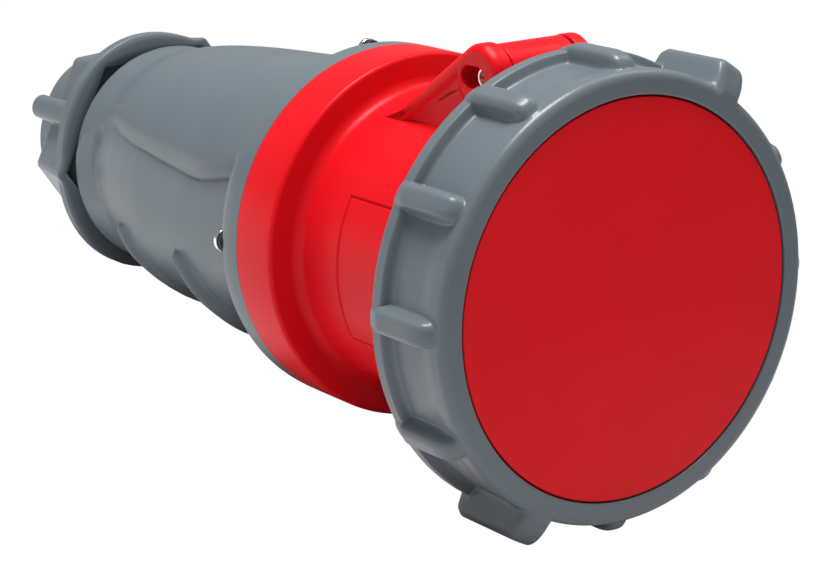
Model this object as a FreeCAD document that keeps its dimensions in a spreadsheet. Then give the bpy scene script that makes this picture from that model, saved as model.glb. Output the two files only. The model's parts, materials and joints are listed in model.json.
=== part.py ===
import FreeCAD, Part
import math
import os

import Sketcher

# Industrial inline socket: a five pole coupler with a pilot contact for three phase power.
# The part's own frame has its origin at the centre of the collar's mouth, where a plug enters.
# +X runs along the axis to the cable, +Z points at the lid's hinge.
# A clock angle is counted about +X from the hinge, so 90 lies at -Y and 180 is the underside.
# A "back" value is a distance behind the mouth. All lengths are in millimetres.

SIZES = {
    # red housing: a collar that the plug enters, and a flange that the handle is screwed to
    "collar_radius": 41.2,
    "collar_wall": 3.2,
    "collar_length": 78.4,
    "collar_root_round": 4.5,
    "mouth_round": 0.8,
    "flange_rise": 9.3,
    "flange_thickness": 16.8,
    "flange_edge_round": 1.4,
    "seat_inset": 1.6,
    "seat_rise": 2.0,
    "keyway_width": 9.0,
    "keyway_depth": 1.6,
    "label_inset": 18.6,
    "label_length": 24.0,
    "label_depth": 0.5,
    "label_angle": 55.0,
    # two lugs outside the collar, behind which the cams of a locking ring turn
    "lug_back": 7.0,
    "lug_thickness": 5.0,
    "lug_rise": 8.3,
    "lug_angle": 22.0,
    "lug_place_angle": 60.0,
    # two arms carry the lid's pin in slots, so that the locking ring can draw the lid back
    "hinge_rise": 11.4,
    "ear_play": 2.6,
    "ear_radius": 9.0,
    "ear_gap": 20.8,
    "ear_thickness": 8.0,
    "arm_slope": 33.5,
    "arm_pocket_depth": 1.4,
    "arm_rim": 3.6,
    "slot_play": 3.8,
    "pin_radius": 2.5,
    "pin_wall": 0.9,
    "pin_recess": 0.8,
    "pin_slit": 0.9,
    # lid
    "lid_rise": 8.0,
    "lid_over": 9.8,
    "lid_wall": 4.4,
    "lid_step": 2.3,
    "lid_shoulder_width": 3.4,
    "lid_shoulder": 3.2,
    "skirt_play": 2.6,
    "skirt_wall": 2.5,
    "skirt_back": 5.0,
    "seal_inside": 0.5,
    "seal_thickness": 3.3,
    "seal_lip_wall": 2.0,
    "seal_lip_height": 2.6,
    "barrel_radius": 7.3,
    "barrel_width": 20.2,
    "lid_arm_rise": 4.4,
    "lid_arm_thickness": 4.8,
    # locking ring round the lid; its outside is counted in steps from the lid's shoulder
    "lip_play": 1.0,
    "ring_lip": 2.4,
    "ring_tail": 1.2,
    "ring_play": 0.6,
    "ring_wall": 2.0,
    "ring_front_rise": 0.6,
    "ring_front_cut": 1.0,
    "ring_rim_rise": 2.7,
    "ring_rim": 3.5,
    "rib_count": 12.0,
    "rib_rise": 1.9,
    "rib_width": 7.6,
    "rib_inset": 1.2,
    "rib_nose": 3.6,
    "rib_slant": 4.2,
    "upper_grip_angle": 34.8,
    "lower_grip_angle": 209.3,
    "grip_width": 10.0,
    "grip_back_rise": 4.3,
    "grip_front_rise": 5.5,
    "grip_cut": 1.6,
    "grip_slant": 2.0,
    "cam_place_angle": 30.0,
    "cam_play": 4.8,
    "cam_thickness": 4.2,
    "cam_angle": 20.0,
    "bead_height": 1.6,
    "bead_thickness": 1.6,
    "bead_angle": 24.0,
    # contacts and the moulding that carries them
    "carrier_back": 2.0,
    "shroud_room": 5.0,
    "plug_depth": 50.0,
    "carrier_flange": 4.0,
    "plate_thickness": 3.2,
    "pitch_radius": 18.0,
    "sleeve_back": 6.0,
    "sleeve_depth": 44.0,
    "line_bore": 4.0,
    "earth_bore": 5.0,
    "pilot_bore": 3.0,
    "sleeve_wall": 2.2,
    "pin_entry": 0.4,
    "shank_step": 0.9,
    "shank_length": 28.0,
    "wire_depth": 20.0,
    "wire_wall": 1.9,
    "terminal_screw_radius": 1.9,
    "terminal_screw_length": 4.2,
    "terminal_pitch": 9.0,
    # handle
    "spigot_wall": 4.0,
    "seal_groove": 2.4,
    "seal_half": 0.95,
    "seal_front": 2.2,
    "grip_flange_step": 0.1,
    "grip_flange": 11.0,
    "grip_flange_round": 2.6,
    "neck_round": 5.0,
    "shell_drop": 6.5,
    "shell_taper": 9.5,
    "shell_bow": 1.7,
    "shell_length": 110.0,
    "shell_chamfer": 2.0,
    "panel_start": 8.3,
    "panel_stop": 24.2,
    "panel_drop": 3.9,
    "panel_taper": 3.7,
    "panel_round": 2.0,
    "panel_angle": 230.0,
    "ridge_angle": 154.0,
    "ridge_width": 9.0,
    "ridge_round": 3.6,
    "front_ridge_start": 33.8,
    "front_ridge_rise": 4.2,
    "rear_ridge_start": 71.8,
    "rear_ridge_rise": 1.2,
    "shell_wall": 3.2,
    "throat_step": 2.0,
    # screws that hold the handle to the housing
    "screw_count": 4.0,
    "screw_inset": 2.9,
    "screw_radius": 1.6,
    "screw_length": 21.0,
    "screw_head_radius": 3.3,
    "screw_head": 3.4,
    "screw_seat": 3.0,
    "screw_recess": 1.0,
    # cable gland
    "gland_depth": 10.2,
    "gland_bore": 25.0,
    "thread_wall": 3.0,
    "thread_inset": 1.9,
    "cable_radius": 14.5,
    "grommet_length": 18.0,
    "thrust_thickness": 3.0,
    "thrust_play": 2.5,
    "clamp_play": 2.0,
    "clamp_collar": 7.0,
    "clamp_cone": 10.0,
    "clamp_taper": 4.0,
    "clamp_fingers": 8.0,
    "clamp_slit": 1.6,
    "nut_gap": 5.5,
    "nut_flange_rise": 10.3,
    "nut_flange": 4.5,
    "nut_flange_round": 1.6,
    "nut_mouth_rise": 7.0,
    "nut_mouth_depth": 5.0,
    "nut_front_rise": 9.2,
    "nut_rear_rise": 3.8,
    "nut_hex_length": 21.0,
    "nut_drum_drop": 3.1,
    "nut_end_lip": 1.5,
    "nut_length": 38.0,
    "nut_rib_rise": 7.7,
    "nut_rib_width": 7.5,
    "nut_turn_angle": -4.0,
    # clearances
    "running_gap": 0.3,
    "slide_gap": 0.3,
    "thread_gap": 0.4,
    "hinge_gap": 0.1,
    "slot_gap": 0.4,
}

doc = FreeCAD.newDocument("inline_socket")
size = doc.addObject("Spreadsheet::Sheet", "size")
for row, (alias, number) in enumerate(SIZES.items(), start=1):
    size.set(f"A{row}", alias)
    size.set(f"B{row}", str(number))
    size.setAlias(f"B{row}", alias)
doc.recompute()


def number_of(text):
    """The number that an expression over the sheet gives."""
    found = size.evalExpression(text.replace("size.", ""))
    return float(getattr(found, "Value", found))


def new_body(label):
    """An empty body for one sub-part."""
    body = doc.addObject("PartDesign::Body", label)
    body.Label = label
    return body


def origin_of(body, role):
    """One of the body's own origin planes or axes."""
    return next(item for item in body.Origin.OriginFeatures if item.Role == role)


def new_sketch(body, name, plane, shift=None, turn=None):
    """A sketch on an origin plane, moved along its normal or turned about the main axis."""
    sketch = body.newObject("Sketcher::SketchObject", name)
    sketch.AttachmentSupport = [(origin_of(body, plane), "")]
    sketch.MapMode = "FlatFace"
    if turn:
        sketch.AttachmentOffset = FreeCAD.Placement(
            FreeCAD.Vector(), FreeCAD.Rotation(FreeCAD.Vector(1, 0, 0), 1))
        sketch.setExpression("AttachmentOffset.Rotation.Angle", turn)
    if shift:
        sketch.setExpression("AttachmentOffset.Base.z", shift)
    return sketch


def hold(sketch, kind, items, text, name):
    """Add one constraint whose value follows an expression."""
    index = sketch.addConstraint(Sketcher.Constraint(kind, *items, number_of(text)))
    sketch.renameConstraint(index, name)
    sketch.setExpression("Constraints." + name, text)


def pin_point(sketch, geometry, position, corner, name):
    """Hold a point at the two expressions of a corner."""
    hold(sketch, "DistanceX", (geometry, position), corner[0], name + "_x")
    hold(sketch, "DistanceY", (geometry, position), corner[1], name + "_y")


def outline(sketch, corners, tag="p"):
    """Draw a closed outline through corners.

    A corner is (x, y), or (x, y, "round", radius) for a rounded one, or
    (x, y, "cut", reach) for one that a straight cut takes off.
    """
    count = len(corners)
    points = [FreeCAD.Vector(number_of(c[0]), number_of(c[1]), 0) for c in corners]
    kinds = [c[2] if len(c) > 2 else "sharp" for c in corners]
    amounts = [number_of(c[3]) if len(c) > 2 else 0.0 for c in corners]
    entries, exits, centres = [], [], []
    for i, point in enumerate(points):
        to_last = points[i - 1].sub(point).normalize()
        to_next = points[(i + 1) % count].sub(point).normalize()
        half = to_last.getAngle(to_next) / 2
        reach = amounts[i] / math.tan(half) if kinds[i] == "round" else amounts[i]
        entries.append(point.add(to_last * reach))
        exits.append(point.add(to_next * reach))
        middle = to_last.add(to_next).normalize() if kinds[i] == "round" else to_last
        centres.append(point.add(middle * (amounts[i] / math.sin(half))))
    edges = [sketch.addGeometry(Part.LineSegment(exits[i], entries[(i + 1) % count]))
             for i in range(count)]
    for i in range(count):
        before, after = edges[i - 1], edges[i]
        if kinds[i] == "sharp":
            sketch.addConstraint(Sketcher.Constraint("Coincident", before, 2, after, 1))
            pin_point(sketch, after, 1, corners[i], f"{tag}{i}")
            continue
        corner = sketch.addGeometry(Part.Point(points[i]), True)
        if kinds[i] == "round":
            turn_left = (points[i].sub(points[i - 1])).cross(
                points[(i + 1) % count].sub(points[i])).z > 0
            ends = (entries[i], exits[i]) if turn_left else (exits[i], entries[i])
            angles = [math.atan2(p.y - centres[i].y, p.x - centres[i].x) for p in ends]
            circle = Part.Circle(centres[i], FreeCAD.Vector(0, 0, 1), amounts[i])
            arc = sketch.addGeometry(Part.ArcOfCircle(circle, *angles))
            arc_in, arc_out = (1, 2) if turn_left else (2, 1)
            sketch.addConstraint(Sketcher.Constraint("Tangent", before, 2, arc, arc_in))
            sketch.addConstraint(Sketcher.Constraint("Tangent", arc, arc_out, after, 1))
            hold(sketch, "Radius", (arc,), corners[i][3], f"{tag}{i}_round")
        else:
            cut = sketch.addGeometry(Part.LineSegment(entries[i], exits[i]))
            sketch.addConstraint(Sketcher.Constraint("Coincident", before, 2, cut, 1))
            sketch.addConstraint(Sketcher.Constraint("Coincident", cut, 2, after, 1))
            hold(sketch, "Distance", (corner, 1, cut, 1), corners[i][3], f"{tag}{i}_in")
            hold(sketch, "Distance", (corner, 1, cut, 2), corners[i][3], f"{tag}{i}_out")
        sketch.addConstraint(Sketcher.Constraint("PointOnObject", corner, 1, before))
        sketch.addConstraint(Sketcher.Constraint("PointOnObject", corner, 1, after))
        pin_point(sketch, corner, 1, corners[i], f"{tag}{i}")
    return sketch


def disc(sketch, centre, radius, tag="c"):
    """A circle in a sketch, held at two expressions and a radius."""
    place = FreeCAD.Vector(number_of(centre[0]), number_of(centre[1]), 0)
    circle = Part.Circle(place, FreeCAD.Vector(0, 0, 1), number_of(radius))
    index = sketch.addGeometry(circle)
    pin_point(sketch, index, 3, centre, tag)
    hold(sketch, "Radius", (index,), radius, tag + "_radius")
    return sketch


def slot(sketch, start, end, level, radius):
    """A slot along the sketch's X between two arc centres at one level."""
    x0, x1, y, r = (number_of(text) for text in (start, end, level, radius))
    vector = FreeCAD.Vector
    rear = Part.Circle(vector(x1, y, 0), vector(0, 0, 1), r)
    front = Part.Circle(vector(x0, y, 0), vector(0, 0, 1), r)
    right = sketch.addGeometry(Part.ArcOfCircle(rear, -math.pi / 2, math.pi / 2))
    left = sketch.addGeometry(Part.ArcOfCircle(front, math.pi / 2, 3 * math.pi / 2))
    top = sketch.addGeometry(Part.LineSegment(vector(x1, y + r, 0), vector(x0, y + r, 0)))
    under = sketch.addGeometry(Part.LineSegment(vector(x0, y - r, 0), vector(x1, y - r, 0)))
    for items in ((right, 2, top, 1), (top, 2, left, 1), (left, 2, under, 1), (under, 2, right, 1)):
        sketch.addConstraint(Sketcher.Constraint("Tangent", *items))
    pin_point(sketch, left, 3, (start, level), "front")
    hold(sketch, "DistanceX", (right, 3), end, "rear_x")
    hold(sketch, "Radius", (right,), radius, "slot_radius")
    sketch.addConstraint(Sketcher.Constraint("Horizontal", top))
    return sketch


def feature(body, kind, sketch, name, **bound):
    """A feature of a body on a sketch, with its sizes bound to expressions."""
    made = body.newObject("PartDesign::" + kind, name)
    made.Profile = sketch
    for key, text in bound.items():
        made.setExpression(key, text)
    return made


def turned(body, sketch, name, cut=False, angle=None):
    """Turn a sketch about the main axis: all the way, or by an angle shared by both sides."""
    made = feature(body, "Groove" if cut else "Revolution", sketch, name)
    made.ReferenceAxis = (sketch, ["H_Axis"])
    if angle:
        made.Midplane = True
        made.setExpression("Angle", angle)
    else:
        made.Angle = 360
    return made


def padded(body, sketch, name, length, both_ways=False, cut=False, reverse=False):
    """Pad or pocket a sketch by a length."""
    made = feature(body, "Pocket" if cut else "Pad", sketch, name, Length=length)
    if both_ways:
        made.SideType = "Symmetric"
    made.Reversed = reverse
    return made


def ring_of(body, originals, name, count):
    """Repeat features evenly about the main axis."""
    made = body.newObject("PartDesign::PolarPattern", name)
    made.Originals = originals
    made.Axis = (origin_of(body, "X_Axis"), [""])
    made.Angle = 360
    made.setExpression("Occurrences", count)
    body.Tip = made
    return made


def mirrored_across(body, originals, name):
    """Repeat features on the other side of the upright middle plane."""
    made = body.newObject("PartDesign::Mirrored", name)
    made.Originals = originals
    made.MirrorPlane = (origin_of(body, "XZ_Plane"), [""])
    body.Tip = made
    return made


# Radii and places that several pieces share, each a step from the one that carries it
COLLAR_BORE = "(size.collar_radius - size.collar_wall)"
FLANGE_RADIUS = "(size.collar_radius + size.flange_rise)"
SEAT_RADIUS = "(size.collar_radius + size.seat_rise)"
SEAT_PIECE_RADIUS = f"({SEAT_RADIUS} - size.slide_gap)"
JOINT_BACK = "(size.collar_length + size.flange_thickness)"
SEAT_BACK = "(size.collar_length + size.seat_inset)"
LABEL_BACK = "(size.collar_length - size.label_inset)"
LUG_RADIUS = "(size.collar_radius + size.lug_rise)"
CARRIER_RADIUS = f"({COLLAR_BORE} - size.shroud_room)"
CARRIER_STEP = "(size.carrier_back + size.plug_depth)"
CARRIER_END = f"({SEAT_BACK} + size.carrier_flange)"
# lid and locking ring
LID_INSIDE = "(size.lid_wall - size.lid_rise)"
LID_RADIUS = "(size.collar_radius + size.lid_over)"
SHOULDER_FRONT = "(size.lid_step - size.lid_rise)"
SHOULDER_BACK = f"({SHOULDER_FRONT} + size.lid_shoulder)"
LID_SHOULDER = f"({LID_RADIUS} + size.lid_shoulder_width)"
LID_ARM_UNDER = "(size.collar_radius + size.lid_arm_rise)"
SKIRT_BORE = "(size.collar_radius + size.skirt_play)"
SEAL_BORE = f"({COLLAR_BORE} - size.seal_inside)"
CAM_FRONT = "(size.lug_back + size.lug_thickness + size.slide_gap)"
RING_FRONT = f"({SHOULDER_FRONT} - size.running_gap - size.ring_lip)"
RING_BACK = f"({CAM_FRONT} + size.cam_thickness + size.ring_tail)"
RING_BORE = f"({LID_SHOULDER} + size.ring_play)"
RING_PANEL = f"({RING_BORE} + size.ring_wall)"
RING_RIM = f"({RING_PANEL} + size.ring_rim_rise)"
RIB_CREST = f"({RING_RIM} + size.rib_rise)"
GRIP_BACK = f"({RING_RIM} + size.grip_back_rise)"
# hinge
HINGE_BACK = f"({RING_BACK} + size.ear_play + size.ear_radius)"
HINGE_UP = "(size.collar_radius + size.hinge_rise)"
EAR_OUTSIDE = "(size.ear_gap / 2 + size.ear_thickness)"
# handle
SPIGOT_FRONT = f"({CARRIER_END} + size.plate_thickness + size.slide_gap)"
SPIGOT_BORE = f"({SEAT_PIECE_RADIUS} - size.spigot_wall)"
GRIP_RADIUS = f"({FLANGE_RADIUS} - size.grip_flange_step)"
GRIP_END = f"({JOINT_BACK} + size.grip_flange)"
SCREW_CIRCLE = f"({FLANGE_RADIUS} - size.screw_inset)"
SHELL_BACK = f"({GRIP_END} + size.shell_length)"
SHELL_FRONT_RADIUS = f"({GRIP_RADIUS} - size.shell_drop)"
SHELL_BACK_RADIUS = f"({SHELL_FRONT_RADIUS} - size.shell_taper)"
PANEL_FRONT = f"({GRIP_END} + size.panel_start)"
PANEL_END = f"({SHELL_BACK} - size.panel_stop)"
PANEL_FRONT_RADIUS = f"({SHELL_FRONT_RADIUS} - size.panel_drop)"
PANEL_BACK_RADIUS = f"({PANEL_FRONT_RADIUS} - size.panel_taper)"
# cable gland
THREAD_RADIUS = "(size.gland_bore + size.thread_wall)"
GLAND_PIECE_RADIUS = "(size.gland_bore - size.slide_gap)"
THROAT_RADIUS = "(size.gland_bore - size.throat_step)"
THRUST_BORE = "(size.cable_radius + size.thrust_play)"
GLAND_SEAT = f"({SHELL_BACK} - size.gland_depth)"
GROMMET_FRONT = f"({GLAND_SEAT} + size.slide_gap)"
THRUST_FRONT = f"({GROMMET_FRONT} + size.grommet_length + size.slide_gap)"
CLAMP_FRONT = f"({THRUST_FRONT} + size.thrust_thickness + size.slide_gap)"
CLAMP_BORE = "(size.cable_radius + size.clamp_play)"
CLAMP_END_RADIUS = "(size.gland_bore - size.clamp_taper)"
CONE_FRONT = f"({CLAMP_FRONT} + size.clamp_collar)"
CONE_END = f"({CONE_FRONT} + size.clamp_cone)"
THREAD_END = f"({CONE_FRONT} - size.thread_inset)"
NUT_BACK = f"({SHELL_BACK} + size.nut_gap)"
NUT_FLANGE_RADIUS = f"({THREAD_RADIUS} + size.nut_flange_rise)"
NUT_DRUM_RADIUS = f"({THREAD_RADIUS} - size.nut_drum_drop)"
NUT_END_BORE = f"({CLAMP_END_RADIUS} - size.nut_end_lip)"


def make_front_housing():
    """Red housing: collar, flange, lid arms, bayonet lugs, keyway and label recess."""
    body = new_body("front_housing")
    profile = new_sketch(body, "housing_outside", "XZ_Plane")
    outline(profile, [
        ("0", "0"),
        (JOINT_BACK, "0"),
        (JOINT_BACK, FLANGE_RADIUS),
        ("size.collar_length", FLANGE_RADIUS, "cut", "size.flange_edge_round"),
        ("size.collar_length", "size.collar_radius", "cut", "size.collar_root_round"),
        ("0", "size.collar_radius", "cut", "size.mouth_round"),
    ])
    turned(body, profile, "housing_blank")

    lug = new_sketch(body, "lug_section", "XZ_Plane", turn="size.lug_place_angle")
    outline(lug, [
        ("size.lug_back", "size.collar_radius - size.collar_wall / 2"),
        ("size.lug_back + size.lug_thickness", "size.collar_radius - size.collar_wall / 2"),
        ("size.lug_back + size.lug_thickness", LUG_RADIUS),
        ("size.lug_back", LUG_RADIUS, "cut", "size.lug_thickness / 3"),
    ])
    lug_block = turned(body, lug, "lug", angle="size.lug_angle")
    ring_of(body, [lug_block], "lugs", "2")

    side = new_sketch(body, "arm_side", "XZ_Plane", shift=f"-({EAR_OUTSIDE})")
    front = f"{HINGE_BACK} - size.ear_radius"
    peak = f"{HINGE_UP} + size.ear_radius * (1 + sin(size.arm_slope * 1 deg)) / cos(size.arm_slope * 1 deg)"
    low = "size.collar_radius * 0.8"
    foot = (f"{HINGE_BACK} + (size.ear_radius + ({HINGE_UP} - {low})"
            " * cos(size.arm_slope * 1 deg)) / sin(size.arm_slope * 1 deg)")
    outline(side, [
        (front, low),
        (foot, low),
        (front, peak, "round", "size.ear_radius * 0.999"),
    ])
    arm = padded(body, side, "arm", "size.ear_thickness")
    mirrored_across(body, [arm], "arms")

    window = new_sketch(body, "arm_pocket_side", "XZ_Plane", shift=f"-({EAR_OUTSIDE})")
    web_front = f"{HINGE_BACK} + size.ear_radius"
    web_low = "size.collar_radius"
    web_top = (f"{HINGE_UP} + (size.ear_radius - size.arm_rim - size.ear_radius"
               " * sin(size.arm_slope * 1 deg)) / cos(size.arm_slope * 1 deg)")
    web_foot = (f"{HINGE_BACK} + (size.ear_radius - size.arm_rim + ({HINGE_UP} - {web_low})"
                " * cos(size.arm_slope * 1 deg)) / sin(size.arm_slope * 1 deg)")
    outline(window, [
        (web_front, web_low),
        (web_foot, web_low),
        (web_front, web_top, "round", "size.arm_rim / 2"),
    ])
    pocket = padded(body, window, "arm_pocket", "size.arm_pocket_depth", cut=True, reverse=True)
    mirrored_across(body, [pocket], "arm_pockets")

    hole = new_sketch(body, "pin_slot_side", "XZ_Plane")
    slot(hole, HINGE_BACK, f"{HINGE_BACK} + size.slot_play", HINGE_UP,
         "size.pin_radius + size.slot_gap")
    padded(body, hole, "pin_slots", f"2 * ({EAR_OUTSIDE}) + 2", both_ways=True, cut=True)

    inside = new_sketch(body, "housing_bore", "XZ_Plane")
    outline(inside, [
        ("-1", "0"),
        (f"{JOINT_BACK} + 1", "0"),
        (f"{JOINT_BACK} + 1", SEAT_RADIUS),
        (SEAT_BACK, SEAT_RADIUS),
        (SEAT_BACK, COLLAR_BORE),
        ("-1", COLLAR_BORE),
    ])
    turned(body, inside, "bore", cut=True)

    label = new_sketch(body, "label_section", "XZ_Plane", turn="-90")
    outline(label, [
        (f"{LABEL_BACK} - size.label_length", "size.collar_radius - size.label_depth"),
        (LABEL_BACK, "size.collar_radius - size.label_depth"),
        (LABEL_BACK, "size.collar_radius + 1"),
        (f"{LABEL_BACK} - size.label_length", "size.collar_radius + 1"),
    ])
    turned(body, label, "label_recess", cut=True, angle="size.label_angle")

    key = new_sketch(body, "keyway_end", "YZ_Plane")
    outline(key, [
        ("-size.keyway_width / 2", f"-({COLLAR_BORE}) - size.keyway_depth"),
        ("size.keyway_width / 2", f"-({COLLAR_BORE}) - size.keyway_depth"),
        ("size.keyway_width / 2", f"-({COLLAR_BORE}) + 3"),
        ("-size.keyway_width / 2", f"-({COLLAR_BORE}) + 3"),
    ])
    padded(body, key, "keyway", CARRIER_STEP, cut=True, reverse=True)

    screw = new_sketch(body, "screw_place", "YZ_Plane", shift=JOINT_BACK)
    disc(screw, ("0", SCREW_CIRCLE), "size.screw_radius")
    depth = "size.screw_length - size.grip_flange + size.screw_seat + 1"
    thread = padded(body, screw, "screw_hole", depth, cut=True)
    ring_of(body, [thread], "screw_holes", "size.screw_count")
    return body


def contact_places():
    """Each contact: its name, its clock angle and the alias of its bore."""
    places = [("earth_sleeve", 180.0, "earth_bore"), ("pilot_sleeve", None, "pilot_bore")]
    names = ["neutral_sleeve", "line_sleeve_1", "line_sleeve_2", "line_sleeve_3"]
    for step, name in enumerate(names, start=1):
        places.append((name, 180.0 + 72.0 * step, "line_bore"))
    return places


def contact_centre(clock):
    """The two expressions of a contact's centre, seen along the axis."""
    if clock is None:
        return "0", "0"
    return (f"-size.pitch_radius * sin({clock % 360} deg)",
            f"size.pitch_radius * cos({clock % 360} deg)")


def make_contact_carrier():
    """Front moulding round the contacts, with a finger-safe entry before each."""
    body = new_body("contact_carrier")
    profile = new_sketch(body, "carrier_section", "XZ_Plane")
    outline(profile, [
        ("size.carrier_back", "0"),
        (CARRIER_STEP, "0"),
        (CARRIER_STEP, CARRIER_RADIUS),
        ("size.carrier_back", CARRIER_RADIUS, "cut", "size.mouth_round"),
    ])
    turned(body, profile, "carrier_blank")
    holes = new_sketch(body, "carrier_entries", "YZ_Plane", shift="size.carrier_back")
    seats = new_sketch(body, "carrier_seats", "YZ_Plane", shift="size.sleeve_back")
    for name, clock, bore in contact_places():
        disc(holes, contact_centre(clock), f"size.{bore} + size.pin_entry", name)
        disc(seats, contact_centre(clock), f"size.{bore} + size.sleeve_wall + size.slide_gap",
             name)
    padded(body, holes, "carrier_holes", "size.carrier_flange + size.sleeve_back",
           cut=True, reverse=True)
    padded(body, seats, "carrier_bores", f"{CARRIER_STEP} - size.sleeve_back",
           cut=True, reverse=True)
    return body


def make_carrier_base():
    """Rear moulding that fills the collar behind the plug and seats in the housing."""
    body = new_body("carrier_base")
    profile = new_sketch(body, "base_section", "XZ_Plane")
    outline(profile, [
        (CARRIER_STEP, "0"),
        (CARRIER_END, "0"),
        (CARRIER_END, SEAT_PIECE_RADIUS),
        (SEAT_BACK, SEAT_PIECE_RADIUS),
        (SEAT_BACK, f"{COLLAR_BORE} - size.slide_gap"),
        (CARRIER_STEP, f"{COLLAR_BORE} - size.slide_gap"),
    ])
    turned(body, profile, "base_blank")
    seats = new_sketch(body, "base_seats", "YZ_Plane", shift=CARRIER_STEP)
    for name, clock, bore in contact_places():
        disc(seats, contact_centre(clock), f"size.{bore} + size.sleeve_wall + size.slide_gap",
             name)
    padded(body, seats, "base_bores", f"{CARRIER_END} - ({CARRIER_STEP})",
           cut=True, reverse=True)
    return body


def make_carrier_plate():
    """Plate behind the carrier that keeps the sleeves in."""
    body = new_body("carrier_plate")
    blank = new_sketch(body, "plate_edge", "YZ_Plane", shift=CARRIER_END)
    disc(blank, ("0", "0"), SEAT_PIECE_RADIUS)
    padded(body, blank, "plate_blank", "size.plate_thickness")
    holes = new_sketch(body, "plate_holes", "YZ_Plane", shift=CARRIER_END)
    for name, clock, bore in contact_places():
        disc(holes, contact_centre(clock),
             f"size.{bore} + size.sleeve_wall - size.shank_step + size.slide_gap", name)
    padded(body, holes, "plate_cut", "size.plate_thickness", cut=True, reverse=True)
    return body


def make_sleeve(name, clock, bore):
    """Brass sleeve: contact bore in front, terminal shank with a wire hole behind."""
    body = new_body(name)
    plane = new_sketch(body, name + "_section", "XZ_Plane")
    outside = f"size.{bore} + size.sleeve_wall"
    shank = f"{outside} - size.shank_step"
    end = f"{CARRIER_END} + size.shank_length"
    wire = f"{shank} - size.wire_wall"
    outline(plane, [
        ("size.sleeve_back", f"size.{bore}"),
        ("size.sleeve_back + size.sleeve_depth", f"size.{bore}"),
        ("size.sleeve_back + size.sleeve_depth", "0"),
        (f"{end} - size.wire_depth", "0"),
        (f"{end} - size.wire_depth", wire),
        (end, wire),
        (end, shank),
        (CARRIER_END, shank),
        (CARRIER_END, outside),
        ("size.sleeve_back", outside),
    ])
    turned(body, plane, name + "_blank")
    hole = new_sketch(body, name + "_screw", "XY_Plane")
    disc(hole, (f"{end} - size.wire_depth / 4", "0"), "size.terminal_screw_radius", "rear")
    if clock is not None:
        disc(hole, (f"{end} - size.wire_depth / 4 - size.terminal_pitch", "0"),
             "size.terminal_screw_radius", "front")
    padded(body, hole, name + "_screw_holes", f"{shank} + 1", cut=True, reverse=True)
    return body


def sleeve_placement(clock):
    """Where a sleeve stands in the carrier, turned so that its screws face outwards."""
    across, up = (number_of(text) for text in contact_centre(clock))
    turn = FreeCAD.Rotation(FreeCAD.Vector(1, 0, 0), clock or 0.0)
    return FreeCAD.Placement(FreeCAD.Vector(0, across, up), turn)


def make_terminal_screws():
    """Hexagonal grub screws of all terminals, one group of separate pieces."""
    screws = []
    for name, clock, bore in contact_places():
        shank = f"size.{bore} + size.sleeve_wall - size.shank_step"
        end = f"{CARRIER_END} + size.shank_length"
        for step in range(1 if clock is None else 2):
            screw = doc.addObject("Part::Prism", f"{name}_screw_{step + 1}")
            screw.Polygon = 6
            screw.setExpression("Circumradius", "size.terminal_screw_radius - size.hinge_gap")
            screw.setExpression("Height", "size.terminal_screw_length")
            along = f"{end} - size.wire_depth / 4 - {step} * size.terminal_pitch"
            out = f"{shank} - size.wire_wall + size.slide_gap"
            turn = 0.0 if clock is None else clock
            across, up = contact_centre(clock)
            screw.Placement = FreeCAD.Placement(
                FreeCAD.Vector(), FreeCAD.Rotation(FreeCAD.Vector(1, 0, 0), turn))
            screw.setExpression("Placement.Base.x", along)
            screw.setExpression("Placement.Base.y", f"{across} - ({out}) * sin({turn} deg)")
            screw.setExpression("Placement.Base.z", f"{up} + ({out}) * cos({turn} deg)")
            screws.append(screw)
    group = doc.addObject("Part::Compound", "terminal_screws")
    group.Label = "terminal_screws"
    group.Links = screws
    return group


def shell_corner(share):
    """A corner of the bowed shell, at a share of the way from its front end to its back end."""
    front = f"({GRIP_END} + size.neck_round)"
    back = f"({SHELL_BACK} - size.shell_chamfer)"
    return (f"{front} + {share} * ({back} - {front})",
            f"{SHELL_FRONT_RADIUS} + size.shell_bow"
            f" - {share} * ({SHELL_FRONT_RADIUS} - {SHELL_BACK_RADIUS})")


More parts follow.
